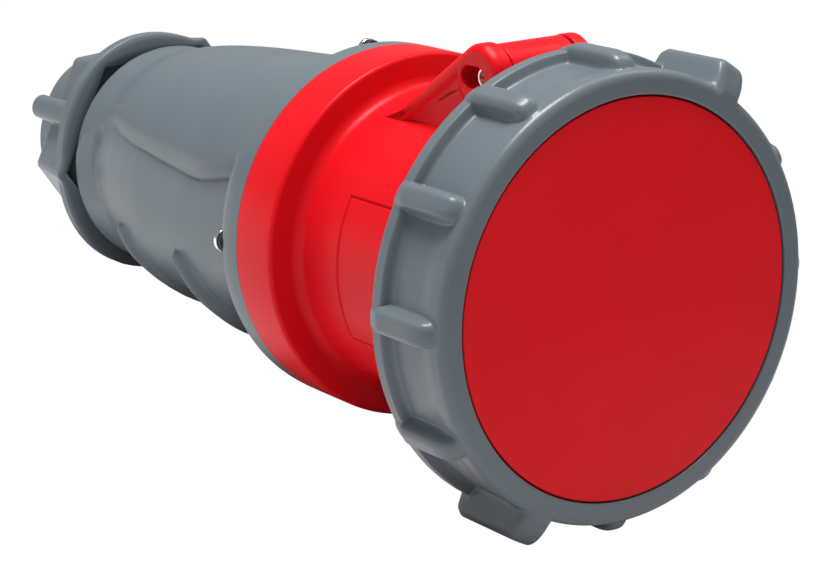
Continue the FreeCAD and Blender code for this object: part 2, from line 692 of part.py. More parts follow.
def make_handle():
    """Grey handle: flange, bowed shell, finger ridges, spigots at both ends."""
    body = new_body("handle")
    groove = f"{SPIGOT_FRONT} + size.seal_front"
    profile = new_sketch(body, "handle_outside", "XZ_Plane")
    groove_end = f"{groove} + size.seal_groove"
    groove_floor = f"{SEAT_PIECE_RADIUS} - 2 * size.seal_half"
    outline(profile, [
        (SPIGOT_FRONT, "0"),
        (SPIGOT_FRONT, SEAT_PIECE_RADIUS),
        (groove, SEAT_PIECE_RADIUS),
        (groove, groove_floor),
        (groove_end, groove_floor),
        (groove_end, SEAT_PIECE_RADIUS),
        (JOINT_BACK, SEAT_PIECE_RADIUS),
        (JOINT_BACK, GRIP_RADIUS),
        (GRIP_END, GRIP_RADIUS, "cut", "size.grip_flange_round"),
        (GRIP_END, f"{SHELL_FRONT_RADIUS} + size.neck_round / 2"),
        (f"{GRIP_END} + size.neck_round", SHELL_FRONT_RADIUS),
        shell_corner("1 / 3"),
        shell_corner("2 / 3"),
        (f"{SHELL_BACK} - size.shell_chamfer", SHELL_BACK_RADIUS),
        (SHELL_BACK, f"{SHELL_BACK_RADIUS} - size.shell_chamfer"),
        (SHELL_BACK, THREAD_RADIUS),
        (THREAD_END, THREAD_RADIUS),
        (THREAD_END, "0"),
    ])
    turned(body, profile, "handle_blank")

    panel = new_sketch(body, "panel_section", "XZ_Plane", turn="180")
    outline(panel, [
        (PANEL_FRONT, PANEL_FRONT_RADIUS, "cut", "size.panel_round"),
        (PANEL_END, PANEL_BACK_RADIUS),
        (PANEL_END, GRIP_RADIUS),
        (PANEL_FRONT, GRIP_RADIUS),
    ])
    turned(body, panel, "panel", cut=True, angle="size.panel_angle")

    ridges = new_sketch(body, "ridge_sections", "XZ_Plane", turn="180")
    for name in ("front_ridge", "rear_ridge"):
        left = f"{GRIP_END} + size.{name}_start - size.ridge_width / 2"
        right = f"{GRIP_END} + size.{name}_start + size.ridge_width / 2"
        crest = f"{PANEL_FRONT_RADIUS} + size.{name}_rise"
        under = f"{PANEL_BACK_RADIUS} - size.shell_wall / 3"
        outline(ridges, [
            (left, under),
            (right, under),
            (right, crest, "cut", "size.ridge_round"),
            (left, crest, "cut", "size.ridge_round"),
        ], tag=name)
    turned(body, ridges, "ridges", angle="size.ridge_angle")

    inside = new_sketch(body, "handle_inside", "XZ_Plane")
    outline(inside, [
        (f"{SPIGOT_FRONT} - 1", "0"),
        (f"{THREAD_END} + 1", "0"),
        (f"{THREAD_END} + 1", "size.gland_bore"),
        (GLAND_SEAT, "size.gland_bore"),
        (GLAND_SEAT, THROAT_RADIUS),
        (PANEL_END, THROAT_RADIUS),
        (PANEL_END, f"{PANEL_BACK_RADIUS} - size.shell_wall"),
        (GRIP_END, f"{PANEL_BACK_RADIUS} - size.shell_wall"),
        (GRIP_END, SPIGOT_BORE),
        (f"{SPIGOT_FRONT} - 1", SPIGOT_BORE),
    ])
    turned(body, inside, "cavity", cut=True)

    hole = new_sketch(body, "handle_screw_place", "YZ_Plane", shift=JOINT_BACK)
    disc(hole, ("0", SCREW_CIRCLE), "size.screw_radius + size.slide_gap")
    through = padded(body, hole, "handle_screw_hole", "size.grip_flange", cut=True, reverse=True)
    seat = new_sketch(body, "screw_seat_place", "YZ_Plane", shift=f"{GRIP_END} + 1")
    disc(seat, ("0", SCREW_CIRCLE), "size.screw_head_radius + size.slide_gap")
    recess = padded(body, seat, "screw_notch", "size.screw_seat + 1", cut=True)
    ring_of(body, [through, recess], "screw_notches", "size.screw_count")
    return body


def make_housing_screws():
    """Four screws that hold the handle to the housing, one group of separate pieces."""
    seat = f"{GRIP_END} - size.screw_seat"
    screws = []
    for step in range(int(number_of("size.screw_count"))):
        clock = f"{step} * 360 / size.screw_count * 1 deg"
        across = f"-{SCREW_CIRCLE} * sin({clock})"
        up = f"{SCREW_CIRCLE} * cos({clock})"
        shank = doc.addObject("Part::Prism", f"screw_shank_{step + 1}")
        shank.Polygon = 8
        shank.setExpression("Circumradius", "size.screw_radius - size.hinge_gap")
        shank.setExpression("Height", "size.screw_length")
        head = doc.addObject("Part::Prism", f"screw_head_{step + 1}")
        head.Polygon = 16
        head.setExpression("Circumradius", "size.screw_head_radius")
        head.setExpression("Height", "size.screw_head")
        recess = doc.addObject("Part::Prism", f"screw_recess_{step + 1}")
        recess.Polygon = 6
        recess.setExpression("Circumradius", "size.screw_head_radius * 0.72")
        recess.setExpression("Height", "size.screw_head")
        along = {shank: f"{seat} - size.screw_length", head: seat,
                 recess: f"{seat} + size.screw_head - size.screw_recess"}
        for piece, start in along.items():
            piece.Placement = FreeCAD.Placement(
                FreeCAD.Vector(), FreeCAD.Rotation(FreeCAD.Vector(0, 1, 0), 90))
            piece.setExpression("Placement.Base.x", start)
            piece.setExpression("Placement.Base.y", across)
            piece.setExpression("Placement.Base.z", up)
        solid = doc.addObject("Part::Fuse", f"screw_solid_{step + 1}")
        solid.Base = shank
        solid.Tool = head
        screw = doc.addObject("Part::Cut", f"housing_screw_{step + 1}")
        screw.Base = solid
        screw.Tool = recess
        screws.append(screw)
    group = doc.addObject("Part::Compound", "housing_screws")
    group.Label = "housing_screws"
    group.Links = screws
    return group


def make_housing_seal():
    """Rubber ring of square section in the groove of the handle's front spigot."""
    centre = f"{SPIGOT_FRONT} + size.seal_front + size.seal_groove / 2"
    half = "(size.seal_half - size.hinge_gap)"
    outside = f"{SEAT_PIECE_RADIUS} - size.hinge_gap / 2"
    inside = f"{outside} - 2 * {half}"
    return make_tube("housing_seal", [
        (f"{centre} - {half}", inside),
        (f"{centre} + {half}", inside),
        (f"{centre} + {half}", outside),
        (f"{centre} - {half}", outside),
    ])


def make_tube(label, corners):
    """A turned ring given by the corners of its section."""
    body = new_body(label)
    section = new_sketch(body, label + "_section", "XZ_Plane")
    outline(section, corners)
    turned(body, section, label + "_blank")
    return body


def make_gland_seal():
    """Rubber grommet that is squeezed on to the cable."""
    end = f"{GROMMET_FRONT} + size.grommet_length"
    return make_tube("gland_seal", [
        (GROMMET_FRONT, "size.cable_radius"),
        (end, "size.cable_radius"),
        (end, GLAND_PIECE_RADIUS),
        (GROMMET_FRONT, GLAND_PIECE_RADIUS),
    ])


def make_thrust_ring():
    """Ring between the grommet and the cable clamp, so that the grommet doesn't turn."""
    end = f"{THRUST_FRONT} + size.thrust_thickness"
    return make_tube("thrust_ring", [
        (THRUST_FRONT, THRUST_BORE),
        (end, THRUST_BORE),
        (end, GLAND_PIECE_RADIUS),
        (THRUST_FRONT, GLAND_PIECE_RADIUS),
    ])


def make_cable_clamp():
    """Conical basket whose fingers the nut closes on the cable."""
    body = make_tube("cable_clamp", [
        (CLAMP_FRONT, CLAMP_BORE),
        (CONE_END, CLAMP_BORE),
        (CONE_END, CLAMP_END_RADIUS),
        (CONE_FRONT, GLAND_PIECE_RADIUS),
        (CLAMP_FRONT, GLAND_PIECE_RADIUS),
    ])
    cut = new_sketch(body, "clamp_slit", "XY_Plane")
    outline(cut, [
        (f"{CLAMP_FRONT} + size.clamp_collar / 2", "-size.clamp_slit / 2"),
        (f"{CONE_END} + 1", "-size.clamp_slit / 2"),
        (f"{CONE_END} + 1", "size.clamp_slit / 2"),
        (f"{CLAMP_FRONT} + size.clamp_collar / 2", "size.clamp_slit / 2"),
    ])
    slit = padded(body, cut, "clamp_cut", "size.gland_bore + 1", cut=True, reverse=True)
    ring_of(body, [slit], "clamp_cuts", "size.clamp_fingers")
    return body


def make_gland_nut():
    """Grey gland nut: round flange, tapering hexagon, six ribs and a rear drum."""
    body = new_body("gland_nut")
    end = f"{NUT_BACK} + size.nut_length"
    hexagon_front = f"{NUT_BACK} + size.nut_flange"
    hexagon_end = f"{hexagon_front} + size.nut_hex_length"
    core = new_sketch(body, "nut_outside", "XZ_Plane")
    outline(core, [
        (NUT_BACK, "0"),
        (end, "0"),
        (end, NUT_DRUM_RADIUS, "cut", "size.nut_flange_round"),
        (hexagon_front, NUT_DRUM_RADIUS),
        (hexagon_front, NUT_FLANGE_RADIUS, "cut", "size.nut_flange_round"),
        (NUT_BACK, NUT_FLANGE_RADIUS, "cut", "size.nut_flange_round / 2"),
    ])
    turned(body, core, "nut_core")

    ends = []
    for name, place in (("front", hexagon_front), ("rear", hexagon_end)):
        corner = f"({THREAD_RADIUS} + size.nut_{name}_rise)"
        face = new_sketch(body, "hexagon_" + name, "YZ_Plane", shift=place)
        corners = []
        for step in range(6):
            clock = f"(size.nut_turn_angle + {30 + 60 * step}) * 1 deg"
            corners.append((f"-{corner} * sin({clock})", f"{corner} * cos({clock})",
                            "cut", "size.nut_flange_round"))
        outline(face, corners[::-1])
        ends.append(face)
    loft = body.newObject("PartDesign::AdditiveLoft", "hexagon")
    loft.Profile = ends[0]
    loft.Sections = [ends[1]]
    loft.Ruled = True

    rib_crest = f"{THREAD_RADIUS} + size.nut_rib_rise"
    rib_side = new_sketch(body, "nut_rib_end", "XZ_Plane", turn="size.nut_turn_angle")
    outline(rib_side, [
        (f"{NUT_BACK} + size.nut_flange / 2", NUT_DRUM_RADIUS),
        (f"{hexagon_end} + 1.5", NUT_DRUM_RADIUS),
        (f"{hexagon_end} + 1.5", rib_crest, "cut", "size.nut_rib_width / 3"),
        (f"{NUT_BACK} + size.nut_flange / 2", rib_crest),
    ])
    rib = padded(body, rib_side, "nut_rib", "size.nut_rib_width", both_ways=True)
    ring_of(body, [rib], "nut_ribs", "6")

    inside = new_sketch(body, "nut_inside", "XZ_Plane")
    thread = f"{THREAD_RADIUS} + size.thread_gap"
    outline(inside, [
        (f"{NUT_BACK} - 1", "0"),
        (f"{end} + 1", "0"),
        (f"{end} + 1", NUT_END_BORE),
        (f"{CONE_END} + size.slide_gap", NUT_END_BORE),
        (f"{CONE_END} + size.slide_gap", f"{CLAMP_END_RADIUS} + size.slide_gap"),
        (f"{CONE_FRONT} + size.slide_gap", "size.gland_bore"),
        (f"{THREAD_END} + 1", "size.gland_bore"),
        (f"{THREAD_END} + 1", thread),
        (f"{NUT_BACK} - 1", thread),
    ])
    turned(body, inside, "nut_bore", cut=True)

    mouth = new_sketch(body, "nut_mouth", "YZ_Plane", shift=NUT_BACK)
    corner = f"({THREAD_RADIUS} + size.nut_mouth_rise)"
    corners = []
    for step in range(6):
        clock = f"(size.nut_turn_angle + {30 + 60 * step}) * 1 deg"
        corners.append((f"-{corner} * sin({clock})", f"{corner} * cos({clock})"))
    outline(mouth, corners[::-1])
    padded(body, mouth, "nut_mouth_cut", "size.nut_mouth_depth", cut=True, reverse=True)
    return body


def make_hinge_pin():
    """Rolled steel pin, slit along its length, its ends recessed in the ears."""
    body = new_body("hinge_pin")
    length = f"2 * ({EAR_OUTSIDE} - size.pin_recess)"
    section = new_sketch(body, "pin_section", "XZ_Plane")
    centre = (HINGE_BACK, HINGE_UP)
    disc(section, centre, "size.pin_radius", "outer")
    disc(section, centre, "size.pin_radius - size.pin_wall", "inner")
    padded(body, section, "pin_tube", length, both_ways=True)
    cut = new_sketch(body, "pin_slit_section", "XZ_Plane")
    outline(cut, [
        (HINGE_BACK, f"{HINGE_UP} - size.pin_slit / 2"),
        (f"{HINGE_BACK} + size.pin_radius + 1", f"{HINGE_UP} - size.pin_slit / 2"),
        (f"{HINGE_BACK} + size.pin_radius + 1", f"{HINGE_UP} + size.pin_slit / 2"),
        (HINGE_BACK, f"{HINGE_UP} + size.pin_slit / 2"),
    ])
    padded(body, cut, "pin_slit_cut", f"{length} + 1", both_ways=True, cut=True)
    return body


def make_lid():
    """Red lid: flat disc with a shoulder for the ring, a skirt, a seal seat and a hinge arm."""
    body = new_body("lid")
    lip_end = f"{LID_INSIDE} + size.seal_lip_height"
    lip_radius = f"{SEAL_BORE} - size.slide_gap"
    profile = new_sketch(body, "lid_section", "XZ_Plane")
    outline(profile, [
        ("-size.lid_rise", "0"),
        (LID_INSIDE, "0"),
        (LID_INSIDE, f"{lip_radius} - size.seal_lip_wall"),
        (lip_end, f"{lip_radius} - size.seal_lip_wall"),
        (lip_end, lip_radius),
        (LID_INSIDE, lip_radius),
        (LID_INSIDE, SKIRT_BORE),
        ("size.skirt_back", SKIRT_BORE),
        ("size.skirt_back", f"{SKIRT_BORE} + size.skirt_wall"),
        (SHOULDER_BACK, f"{SKIRT_BORE} + size.skirt_wall"),
        (SHOULDER_BACK, LID_SHOULDER),
        (SHOULDER_FRONT, LID_SHOULDER),
        (SHOULDER_FRONT, LID_RADIUS),
        ("-size.lid_rise", LID_RADIUS, "cut", "size.mouth_round / 2"),
    ])
    turned(body, profile, "lid_blank")

    arm_side = new_sketch(body, "lid_arm_side", "XZ_Plane")
    over = f"{LID_ARM_UNDER} + size.lid_arm_thickness"
    rise = f"{HINGE_BACK} - size.barrel_radius"
    outline(arm_side, [
        (f"{SHOULDER_BACK} - size.lid_shoulder / 2", LID_ARM_UNDER),
        (HINGE_BACK, LID_ARM_UNDER),
        (HINGE_BACK, HINGE_UP),
        (rise, HINGE_UP),
        (f"{rise} - size.lid_arm_thickness", over),
        (f"{SHOULDER_BACK} - size.lid_shoulder / 2", over),
    ])
    padded(body, arm_side, "lid_arm", "size.barrel_width", both_ways=True)

    centre = (HINGE_BACK, HINGE_UP)
    barrel = new_sketch(body, "barrel_side", "XZ_Plane")
    disc(barrel, centre, "size.barrel_radius")
    padded(body, barrel, "barrel", "size.barrel_width", both_ways=True)
    hole = new_sketch(body, "pin_hole_side", "XZ_Plane")
    disc(hole, centre, "size.pin_radius + size.hinge_gap")
    padded(body, hole, "pin_hole", "size.barrel_width + 1", both_ways=True, cut=True)
    return body


def make_lid_seal():
    """Rubber ring in the lid, against the collar's rim."""
    end = f"{LID_INSIDE} + size.seal_thickness"
    return make_tube("lid_seal", [
        (LID_INSIDE, SEAL_BORE),
        (end, SEAL_BORE),
        (end, f"{SKIRT_BORE} - size.slide_gap"),
        (LID_INSIDE, f"{SKIRT_BORE} - size.slide_gap"),
    ])


def make_locking_ring():
    """Grey ring round the lid: ribs and two wide grips outside, two cams and beads inside."""
    body = new_body("locking_ring")
    rim_front = f"{RING_BACK} - size.ring_rim"
    lip_back = f"{SHOULDER_FRONT} - size.running_gap"
    lip_bore = f"{LID_RADIUS} + size.lip_play"
    front_radius = f"{RING_PANEL} + size.ring_front_rise"
    root = f"{RING_BORE} + size.ring_wall / 2"
    profile = new_sketch(body, "ring_section", "XZ_Plane")
    outline(profile, [
        (RING_FRONT, lip_bore),
        (lip_back, lip_bore),
        (lip_back, RING_BORE),
        (RING_BACK, RING_BORE),
        (RING_BACK, RING_RIM, "cut", "size.ring_front_cut / 2"),
        (rim_front, RING_RIM, "cut", "size.ring_front_cut / 2"),
        (rim_front, RING_PANEL),
        (RING_FRONT, front_radius, "cut", "size.ring_front_cut"),
    ])
    turned(body, profile, "ring_blank")

    rib_side = new_sketch(body, "rib_side", "XZ_Plane")
    nose = f"{RING_FRONT} + size.rib_inset"
    outline(rib_side, [
        (nose, root),
        (RING_BACK, root),
        (RING_BACK, f"{RING_RIM} - size.ring_front_cut / 2"),
        (f"{RING_BACK} - size.rib_slant", RIB_CREST),
        (nose, RIB_CREST, "cut", "size.rib_nose"),
    ])
    rib = padded(body, rib_side, "rib", "size.rib_width", both_ways=True)
    ring_of(body, [rib], "ribs", "size.rib_count")

    for place in ("upper", "lower"):
        side = new_sketch(body, place + "_grip_side", "XZ_Plane", turn=f"size.{place}_grip_angle")
        outline(side, [
            (RING_FRONT, root),
            (RING_BACK, root),
            (RING_BACK, f"{RING_RIM} - size.ring_front_cut / 2"),
            (f"{RING_BACK} - size.grip_slant", GRIP_BACK, "cut", "size.grip_cut / 2"),
            (RING_FRONT, f"{RING_RIM} + size.grip_front_rise", "cut", "size.grip_cut"),
        ])
        padded(body, side, place + "_grip", "size.grip_width", both_ways=True)

    cam_side = new_sketch(body, "cam_section", "XZ_Plane", turn="size.cam_place_angle")
    cam_bore = "size.collar_radius + size.cam_play"
    outline(cam_side, [
        (CAM_FRONT, cam_bore),
        (f"{CAM_FRONT} + size.cam_thickness", cam_bore),
        (f"{CAM_FRONT} + size.cam_thickness", root),
        (CAM_FRONT, root),
    ])
    cam = turned(body, cam_side, "cam", angle="size.cam_angle")
    ring_of(body, [cam], "cams", "2")

    bead_side = new_sketch(body, "bead_section", "XZ_Plane", turn="45")
    bead_front = f"{SHOULDER_BACK} + size.running_gap"
    outline(bead_side, [
        (bead_front, f"{RING_BORE} - size.bead_height"),
        (f"{bead_front} + size.bead_thickness", f"{RING_BORE} - size.bead_height / 2"),
        (f"{bead_front} + size.bead_thickness", root),
        (bead_front, root),
    ])
    bead = turned(body, bead_side, "bead", angle="size.bead_angle")
    ring_of(body, [bead], "beads", "4")
    return body


def lying_placement():
    """How the whole part lies: on one rib, the wide grip next to it, and the gland nut.

    The part is rolled until the tips of that rib and grip are level, then tipped
    until the nut's flange is level with them. The origin ends at the pilot contact's mouth.
    """
    rib, grip, nut = (number_of(text) for text in
                      (RIB_CREST, GRIP_BACK, NUT_FLANGE_RADIUS))
    step = math.radians(number_of("size.lower_grip_angle") - 180)
    # distance from the axis to the line through the two tips, and the roll that levels it
    across = grip * math.sin(step)
    along = grip * math.cos(step) - rib
    roll = math.atan2(-along, across)
    low = rib * math.cos(roll)
    front = number_of(RING_BACK)
    back = number_of(NUT_BACK)
    tilt = math.atan2(low - nut, back - front)
    lean = FreeCAD.Rotation(FreeCAD.Vector(0, 1, 0), math.degrees(tilt))
    turn = FreeCAD.Rotation(FreeCAD.Vector(1, 0, 0), -math.degrees(roll))
    spin = lean.multiply(turn)
    mouth = FreeCAD.Vector(number_of("size.sleeve_back"), 0, 0)
    return FreeCAD.Placement(spin.multVec(mouth).negative(), spin)


def check(objects, parts):
    """Stop if any object failed to build or a sub-part's shape is empty or broken."""
    for item in objects:
        bad = {"Invalid", "Error"} & set(item.State)
        if bad:
            raise RuntimeError(f"{item.Name} did not build: {item.State}")
    for item in parts:
        if item.Shape.isNull() or not item.Shape.isValid() or not item.Shape.Solids:
            raise RuntimeError(f"{item.Label} has no valid shape")


lying = lying_placement()
parts = [
    make_front_housing(),
    make_contact_carrier(),
    make_carrier_base(),
    make_carrier_plate(),
    make_terminal_screws(),
    make_housing_seal(),
    make_handle(),
    make_housing_screws(),
    make_gland_seal(),
    make_thrust_ring(),
    make_cable_clamp(),
    make_gland_nut(),
    make_hinge_pin(),
    make_lid(),
    make_lid_seal(),
    make_locking_ring(),
]
for part in parts:
    part.Placement = lying
for contact in contact_places():
    sleeve = make_sleeve(*contact)
    sleeve.Placement = lying.multiply(sleeve_placement(contact[1]))
    parts.append(sleeve)
doc.recompute()
check(doc.Objects, parts)

os.makedirs("parts", exist_ok=True)
for item in parts:
    item.Shape.exportStep(f"parts/{item.Label}.step")
    box = item.Shape.BoundBox
    print(f"{item.Label}: {len(item.Shape.Solids)} solids, {item.Shape.Volume:.0f} mm3, "
          f"x {box.XMin:.1f} to {box.XMax:.1f}")
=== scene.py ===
# %% [markdown]
# # An industrial inline socket
# This lesson dresses the CAD model of a five-pole inline socket so that it looks like the
# moulded product: a red housing with a hinged lid, a grey locking ring with ribs, a grey
# handle with finger ridges, and a gland nut for the cable. The CAD solids are loaded as a
# fixed frame. Each visible moulding is then worked out again as a smooth surface, because
# moulded plastic has soft edges that the plain solids leave out.

# %% Load the frame
import json
import math

import bpy
import numpy as np
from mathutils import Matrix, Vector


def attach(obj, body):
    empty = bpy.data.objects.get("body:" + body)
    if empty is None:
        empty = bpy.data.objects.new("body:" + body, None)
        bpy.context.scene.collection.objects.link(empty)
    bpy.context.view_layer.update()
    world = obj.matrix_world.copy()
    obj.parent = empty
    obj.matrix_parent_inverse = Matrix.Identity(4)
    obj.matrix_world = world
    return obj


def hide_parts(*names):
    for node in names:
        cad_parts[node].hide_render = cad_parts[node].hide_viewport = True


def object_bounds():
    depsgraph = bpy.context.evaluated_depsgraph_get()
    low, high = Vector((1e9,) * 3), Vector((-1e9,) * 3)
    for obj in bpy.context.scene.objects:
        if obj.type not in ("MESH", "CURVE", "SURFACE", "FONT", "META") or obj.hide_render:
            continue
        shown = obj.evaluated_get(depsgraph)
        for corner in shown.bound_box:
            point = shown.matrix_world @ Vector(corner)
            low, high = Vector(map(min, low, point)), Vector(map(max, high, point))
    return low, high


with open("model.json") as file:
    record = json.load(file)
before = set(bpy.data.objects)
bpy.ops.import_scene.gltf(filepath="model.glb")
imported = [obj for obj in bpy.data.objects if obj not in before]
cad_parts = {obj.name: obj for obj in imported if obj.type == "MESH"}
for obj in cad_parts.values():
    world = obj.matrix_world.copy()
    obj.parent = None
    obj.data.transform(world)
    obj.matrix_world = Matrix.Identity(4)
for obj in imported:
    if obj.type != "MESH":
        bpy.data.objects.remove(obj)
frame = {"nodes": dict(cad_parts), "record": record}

CAD_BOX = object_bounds()

# %% [markdown]
# ## The socket's own coordinates
# The part lies on its side, rolled and a little tilted, so its own axes don't follow the
# world's. The record states each joint's place and direction. The locking ring turns about
# the main axis and the lid about the hinge pin, so these two joints give all three axes.
# From here on a point is x millimetres behind the collar's mouth, at a radius, and at a
# clock angle that is 0 at the hinge and 180 underneath.

# %% Axes from the joints
JOINTS = {joint["name"]: joint for joint in frame["record"]["behaviour"]["joints"]}
ALONG = np.array(JOINTS["ring_turn"]["axis"], float)
ACROSS = np.array(JOINTS["lid_hinge"]["axis"], float)
ALONG /= np.linalg.norm(ALONG)
ACROSS /= np.linalg.norm(ACROSS)
UPWARD = np.cross(ALONG, ACROSS)
MOUTH = np.array(JOINTS["ring_turn"]["pos_m"], float)


def in_frame(x, y, z):
    """Place = mouth + x along + y across + z upward, from millimetres to metres."""
    x, y, z = np.broadcast_arrays(x, y, z)
    steps = np.stack([x, y, z], axis=-1) / 1000.0
    return MOUTH + steps @ np.stack([ALONG, ACROSS, UPWARD])


def around(x, radius, clock):
    """A point round the main axis: y = -radius sin(clock), z = radius cos(clock)."""
    turn = np.radians(clock)
    return in_frame(x, -radius * np.sin(turn), radius * np.cos(turn))


print("main axis:", ALONG.round(4), "mouth:", MOUTH.round(4))

# %% [markdown]
# ## The camera
# The photograph is taken from the front left, a little above, about 60 cm from the lid. The
# lens is long, so the handle shrinks only gently towards the back.

# %% Camera
from mathutils import Matrix, Vector

VIEWPOINT = (-466.10, 384.59, 168.97)
LOOK = (0.79002, -0.55248, -0.26577)
HEAD_UP = (0.20539, -0.16995, 0.96381)


def direction(vector):
    """A direction in socket coordinates, turned into the frame's."""
    return Vector(np.array(vector) @ np.stack([ALONG, ACROSS, UPWARD])).normalized()


camera_data = bpy.data.cameras.new("camera")
camera_data.lens = 108.86
camera_data.sensor_width = 36.0
camera_data.clip_start = 0.01
camera_data.clip_end = 20.0
camera = bpy.data.objects.new("camera", camera_data)
bpy.context.scene.collection.objects.link(camera)
back = -direction(LOOK)
top = direction(HEAD_UP)
right = top.cross(back).normalized()
top = back.cross(right)
camera.matrix_world = Matrix.Translation(Vector(in_frame(*VIEWPOINT))) @ Matrix(
    (right, top, back)).transposed().to_4x4()
bpy.context.scene.camera = camera
print("camera at", [round(v, 3) for v in camera.location])

# %% [markdown]
# ## From a grid of points to a mesh
# Nearly every piece here is one grid: rows follow a profile, columns go round. A whole grid
# is computed as one array, and its faces come from shifting the array of point numbers by
# one row and one column. Rows or columns that meet again are joined by rolling the numbers.

# %% Grid helper
def grid_mesh(name, points, close_rows=False, close_columns=True, cap=False, sharp=50.0):
    """Quads between neighbouring points: (i, j), (i, j+1), (i+1, j+1), (i+1, j)."""
    rows, columns = points.shape[:2]
    number = np.arange(rows * columns).reshape(rows, columns)
    if close_rows:
        number = np.vstack([number, number[:1]])
    if close_columns:
        number = np.hstack([number, number[:, :1]])
    quads = np.stack([number[:-1, :-1], number[:-1, 1:], number[1:, 1:], number[1:, :-1]], -1)
    faces = quads.reshape(-1, 4).tolist()
    if cap:
        faces.append(number[0, :columns][::-1].tolist())
        faces.append(number[-1, :columns].tolist())
    mesh = bpy.data.meshes.new(name)
    mesh.from_pydata(points.reshape(-1, 3), [], faces)
    mesh.validate()
    mesh.shade_smooth()
    mesh.set_sharp_from_angle(angle=math.radians(sharp))
    piece = bpy.data.objects.new(name, mesh)
    bpy.context.scene.collection.objects.link(piece)
    face_outwards(piece)
    print(f"{name}: {len(mesh.polygons)} faces")
    return piece


def face_outwards(piece):
    """The signed volume, a sum of corner products, is positive when faces point outwards."""
    mesh = piece.data
    mesh.calc_loop_triangles()
    corners = np.empty(len(mesh.vertices) * 3)
    mesh.vertices.foreach_get("co", corners)
    corners = corners.reshape(-1, 3)
    triangles = np.empty(len(mesh.loop_triangles) * 3, int)
    mesh.loop_triangles.foreach_get("vertices", triangles)
    a, b, c = (corners[triangles[i::3]] for i in range(3))
    if np.einsum("ij,ij->i", a, np.cross(b, c)).sum() < 0:
        mesh.flip_normals()


# %% [markdown]
# Moulded edges are never sharp. A profile is written as a few corners, each with its own
# rounding, and this helper replaces every corner by a short arc. `stations` spreads sample
# places over a length, close together only where something small happens.

# %% Profile helpers
CLOSEST = 0.02


def rounded(corners, steps=6, closed=False):
    """Each corner (x, r, round) becomes an arc that touches both of its edges."""
    corners = [tuple(c) + (0.0,) * (3 - len(c)) for c in corners]
    path = []
    for i, (x, r, radius) in enumerate(corners):
        here = np.array([x, r], float)
        if radius <= 0 or (not closed and i in (0, len(corners) - 1)):
            path.append(here)
            continue
        before = np.array(corners[i - 1][:2]) - here
        after = np.array(corners[(i + 1) % len(corners)][:2]) - here
        before = before / np.linalg.norm(before)
        after = after / np.linalg.norm(after)
        half = math.acos(np.clip(before @ after, -1, 1)) / 2
        middle = (before + after) / np.linalg.norm(before + after)
        centre = here + middle * radius / math.sin(half)
        start = here + before * radius / math.tan(half) - centre
        end = here + after * radius / math.tan(half) - centre
        turn = math.acos(np.clip(start @ end / radius ** 2, -1, 1))
        t = np.linspace(0, 1, steps + 1)[:, None]
        arc = (np.sin((1 - t) * turn) * start + np.sin(t * turn) * end) / math.sin(turn)
        path.extend(centre + arc)
    return np.array(path)


def stations(start, end, step, fine=()):
    """Even places from start to end, with closer ones within reach of each fine place."""
    places = [np.linspace(start, end, max(2, int(abs(end - start) / step) + 1))]
    for place, reach, small in fine:
        places.append(np.arange(place - reach, place + reach + small / 2, small))
    places = np.unique(np.concatenate(places).round(4))
    low, high = min(start, end), max(start, end)
    places = places[(places >= low) & (places <= high)]
    keep = np.concatenate([[True], np.diff(places) > CLOSEST])
    return places[keep]


def spaced(places, gap):
    """The sorted places, without those that lie closer than the gap to the last kept one."""
    kept = []
    for place in np.unique(places):
        if not kept or place - kept[-1] >= gap:
            kept.append(place)
    return np.array(kept)


def ramp(value, start, end):
    """0 before start, 1 after end, and a smooth s-curve between."""
    t = np.clip((value - start) / (end - start), 0, 1)
    return t * t * (3 - 2 * t)


def blend_over(low, high, softness):
    """The larger of two heights, with a fillet where they cross."""
    gap = np.clip(0.5 + 0.5 * (high - low) / softness, 0, 1)
    return low * (1 - gap) + high * gap + softness * gap * (1 - gap)


def away_from(clock, middle):
    """How many degrees a clock angle lies past the middle, between -180 and 180."""
    return (clock - middle + 180) % 360 - 180


def carried_round(profile, clock):
    """A row of points for each (x, radius) of the profile, a column for each clock angle."""
    return around(profile[:, :1], profile[:, 1:2], clock[None, :])


# %% [markdown]
# ## Moulded plastic
# The photograph shows two plastics, a glowing red and a cool grey, both smooth with a soft
# sheen. Real mouldings aren't perfectly even: the colour drifts a little, the shine wanders,
# and the surface has a fine grain. The grain is a small bump. The drift and the roughness
# come from two noises in object coordinates.

# %% Plastic material
CLOUD_SCALE, PATCH_SCALE, GRAIN_SCALE = 38.0, 160.0, 2600.0


def shader_nodes(name):
    """A new material, its nodes and links, its Principled surface and its coordinates."""
    material = bpy.data.materials.new(name)
    material.use_nodes = True
    nodes = material.node_tree.nodes
    links = material.node_tree.links
    surface = nodes["Principled BSDF"]
    place = nodes.new("ShaderNodeTexCoord")
    return material, nodes, links, surface, place


def linear(hex_colour):
    """A display colour such as 'C81E28' as linear numbers, by the display's own curve.

    A dark value is divided by 12.92, any other becomes ((value + 0.055) / 1.055) ^ 2.4.
    """
    values = np.array([int(hex_colour[i:i + 2], 16) / 255 for i in (0, 2, 4)])
    straight = np.where(values <= 0.04045, values / 12.92, ((values + 0.055) / 1.055) ** 2.4)
    return tuple(straight) + (1.0,)


def noise(nodes, links, place, scale, detail):
    """A noise in object coordinates, scale in features per metre."""
    texture = nodes.new("ShaderNodeTexNoise")
    texture.inputs["Scale"].default_value = scale
    texture.inputs["Detail"].default_value = detail
    links.new(place.outputs["Object"], texture.inputs["Vector"])
    return texture


def mapped(nodes, links, source, low, high):
    """Stretch a 0-1 value to low-high."""
    stretch = nodes.new("ShaderNodeMapRange")
    stretch.inputs["To Min"].default_value = low
    stretch.inputs["To Max"].default_value = high
    links.new(source, stretch.inputs["Value"])
    return stretch.outputs["Result"]


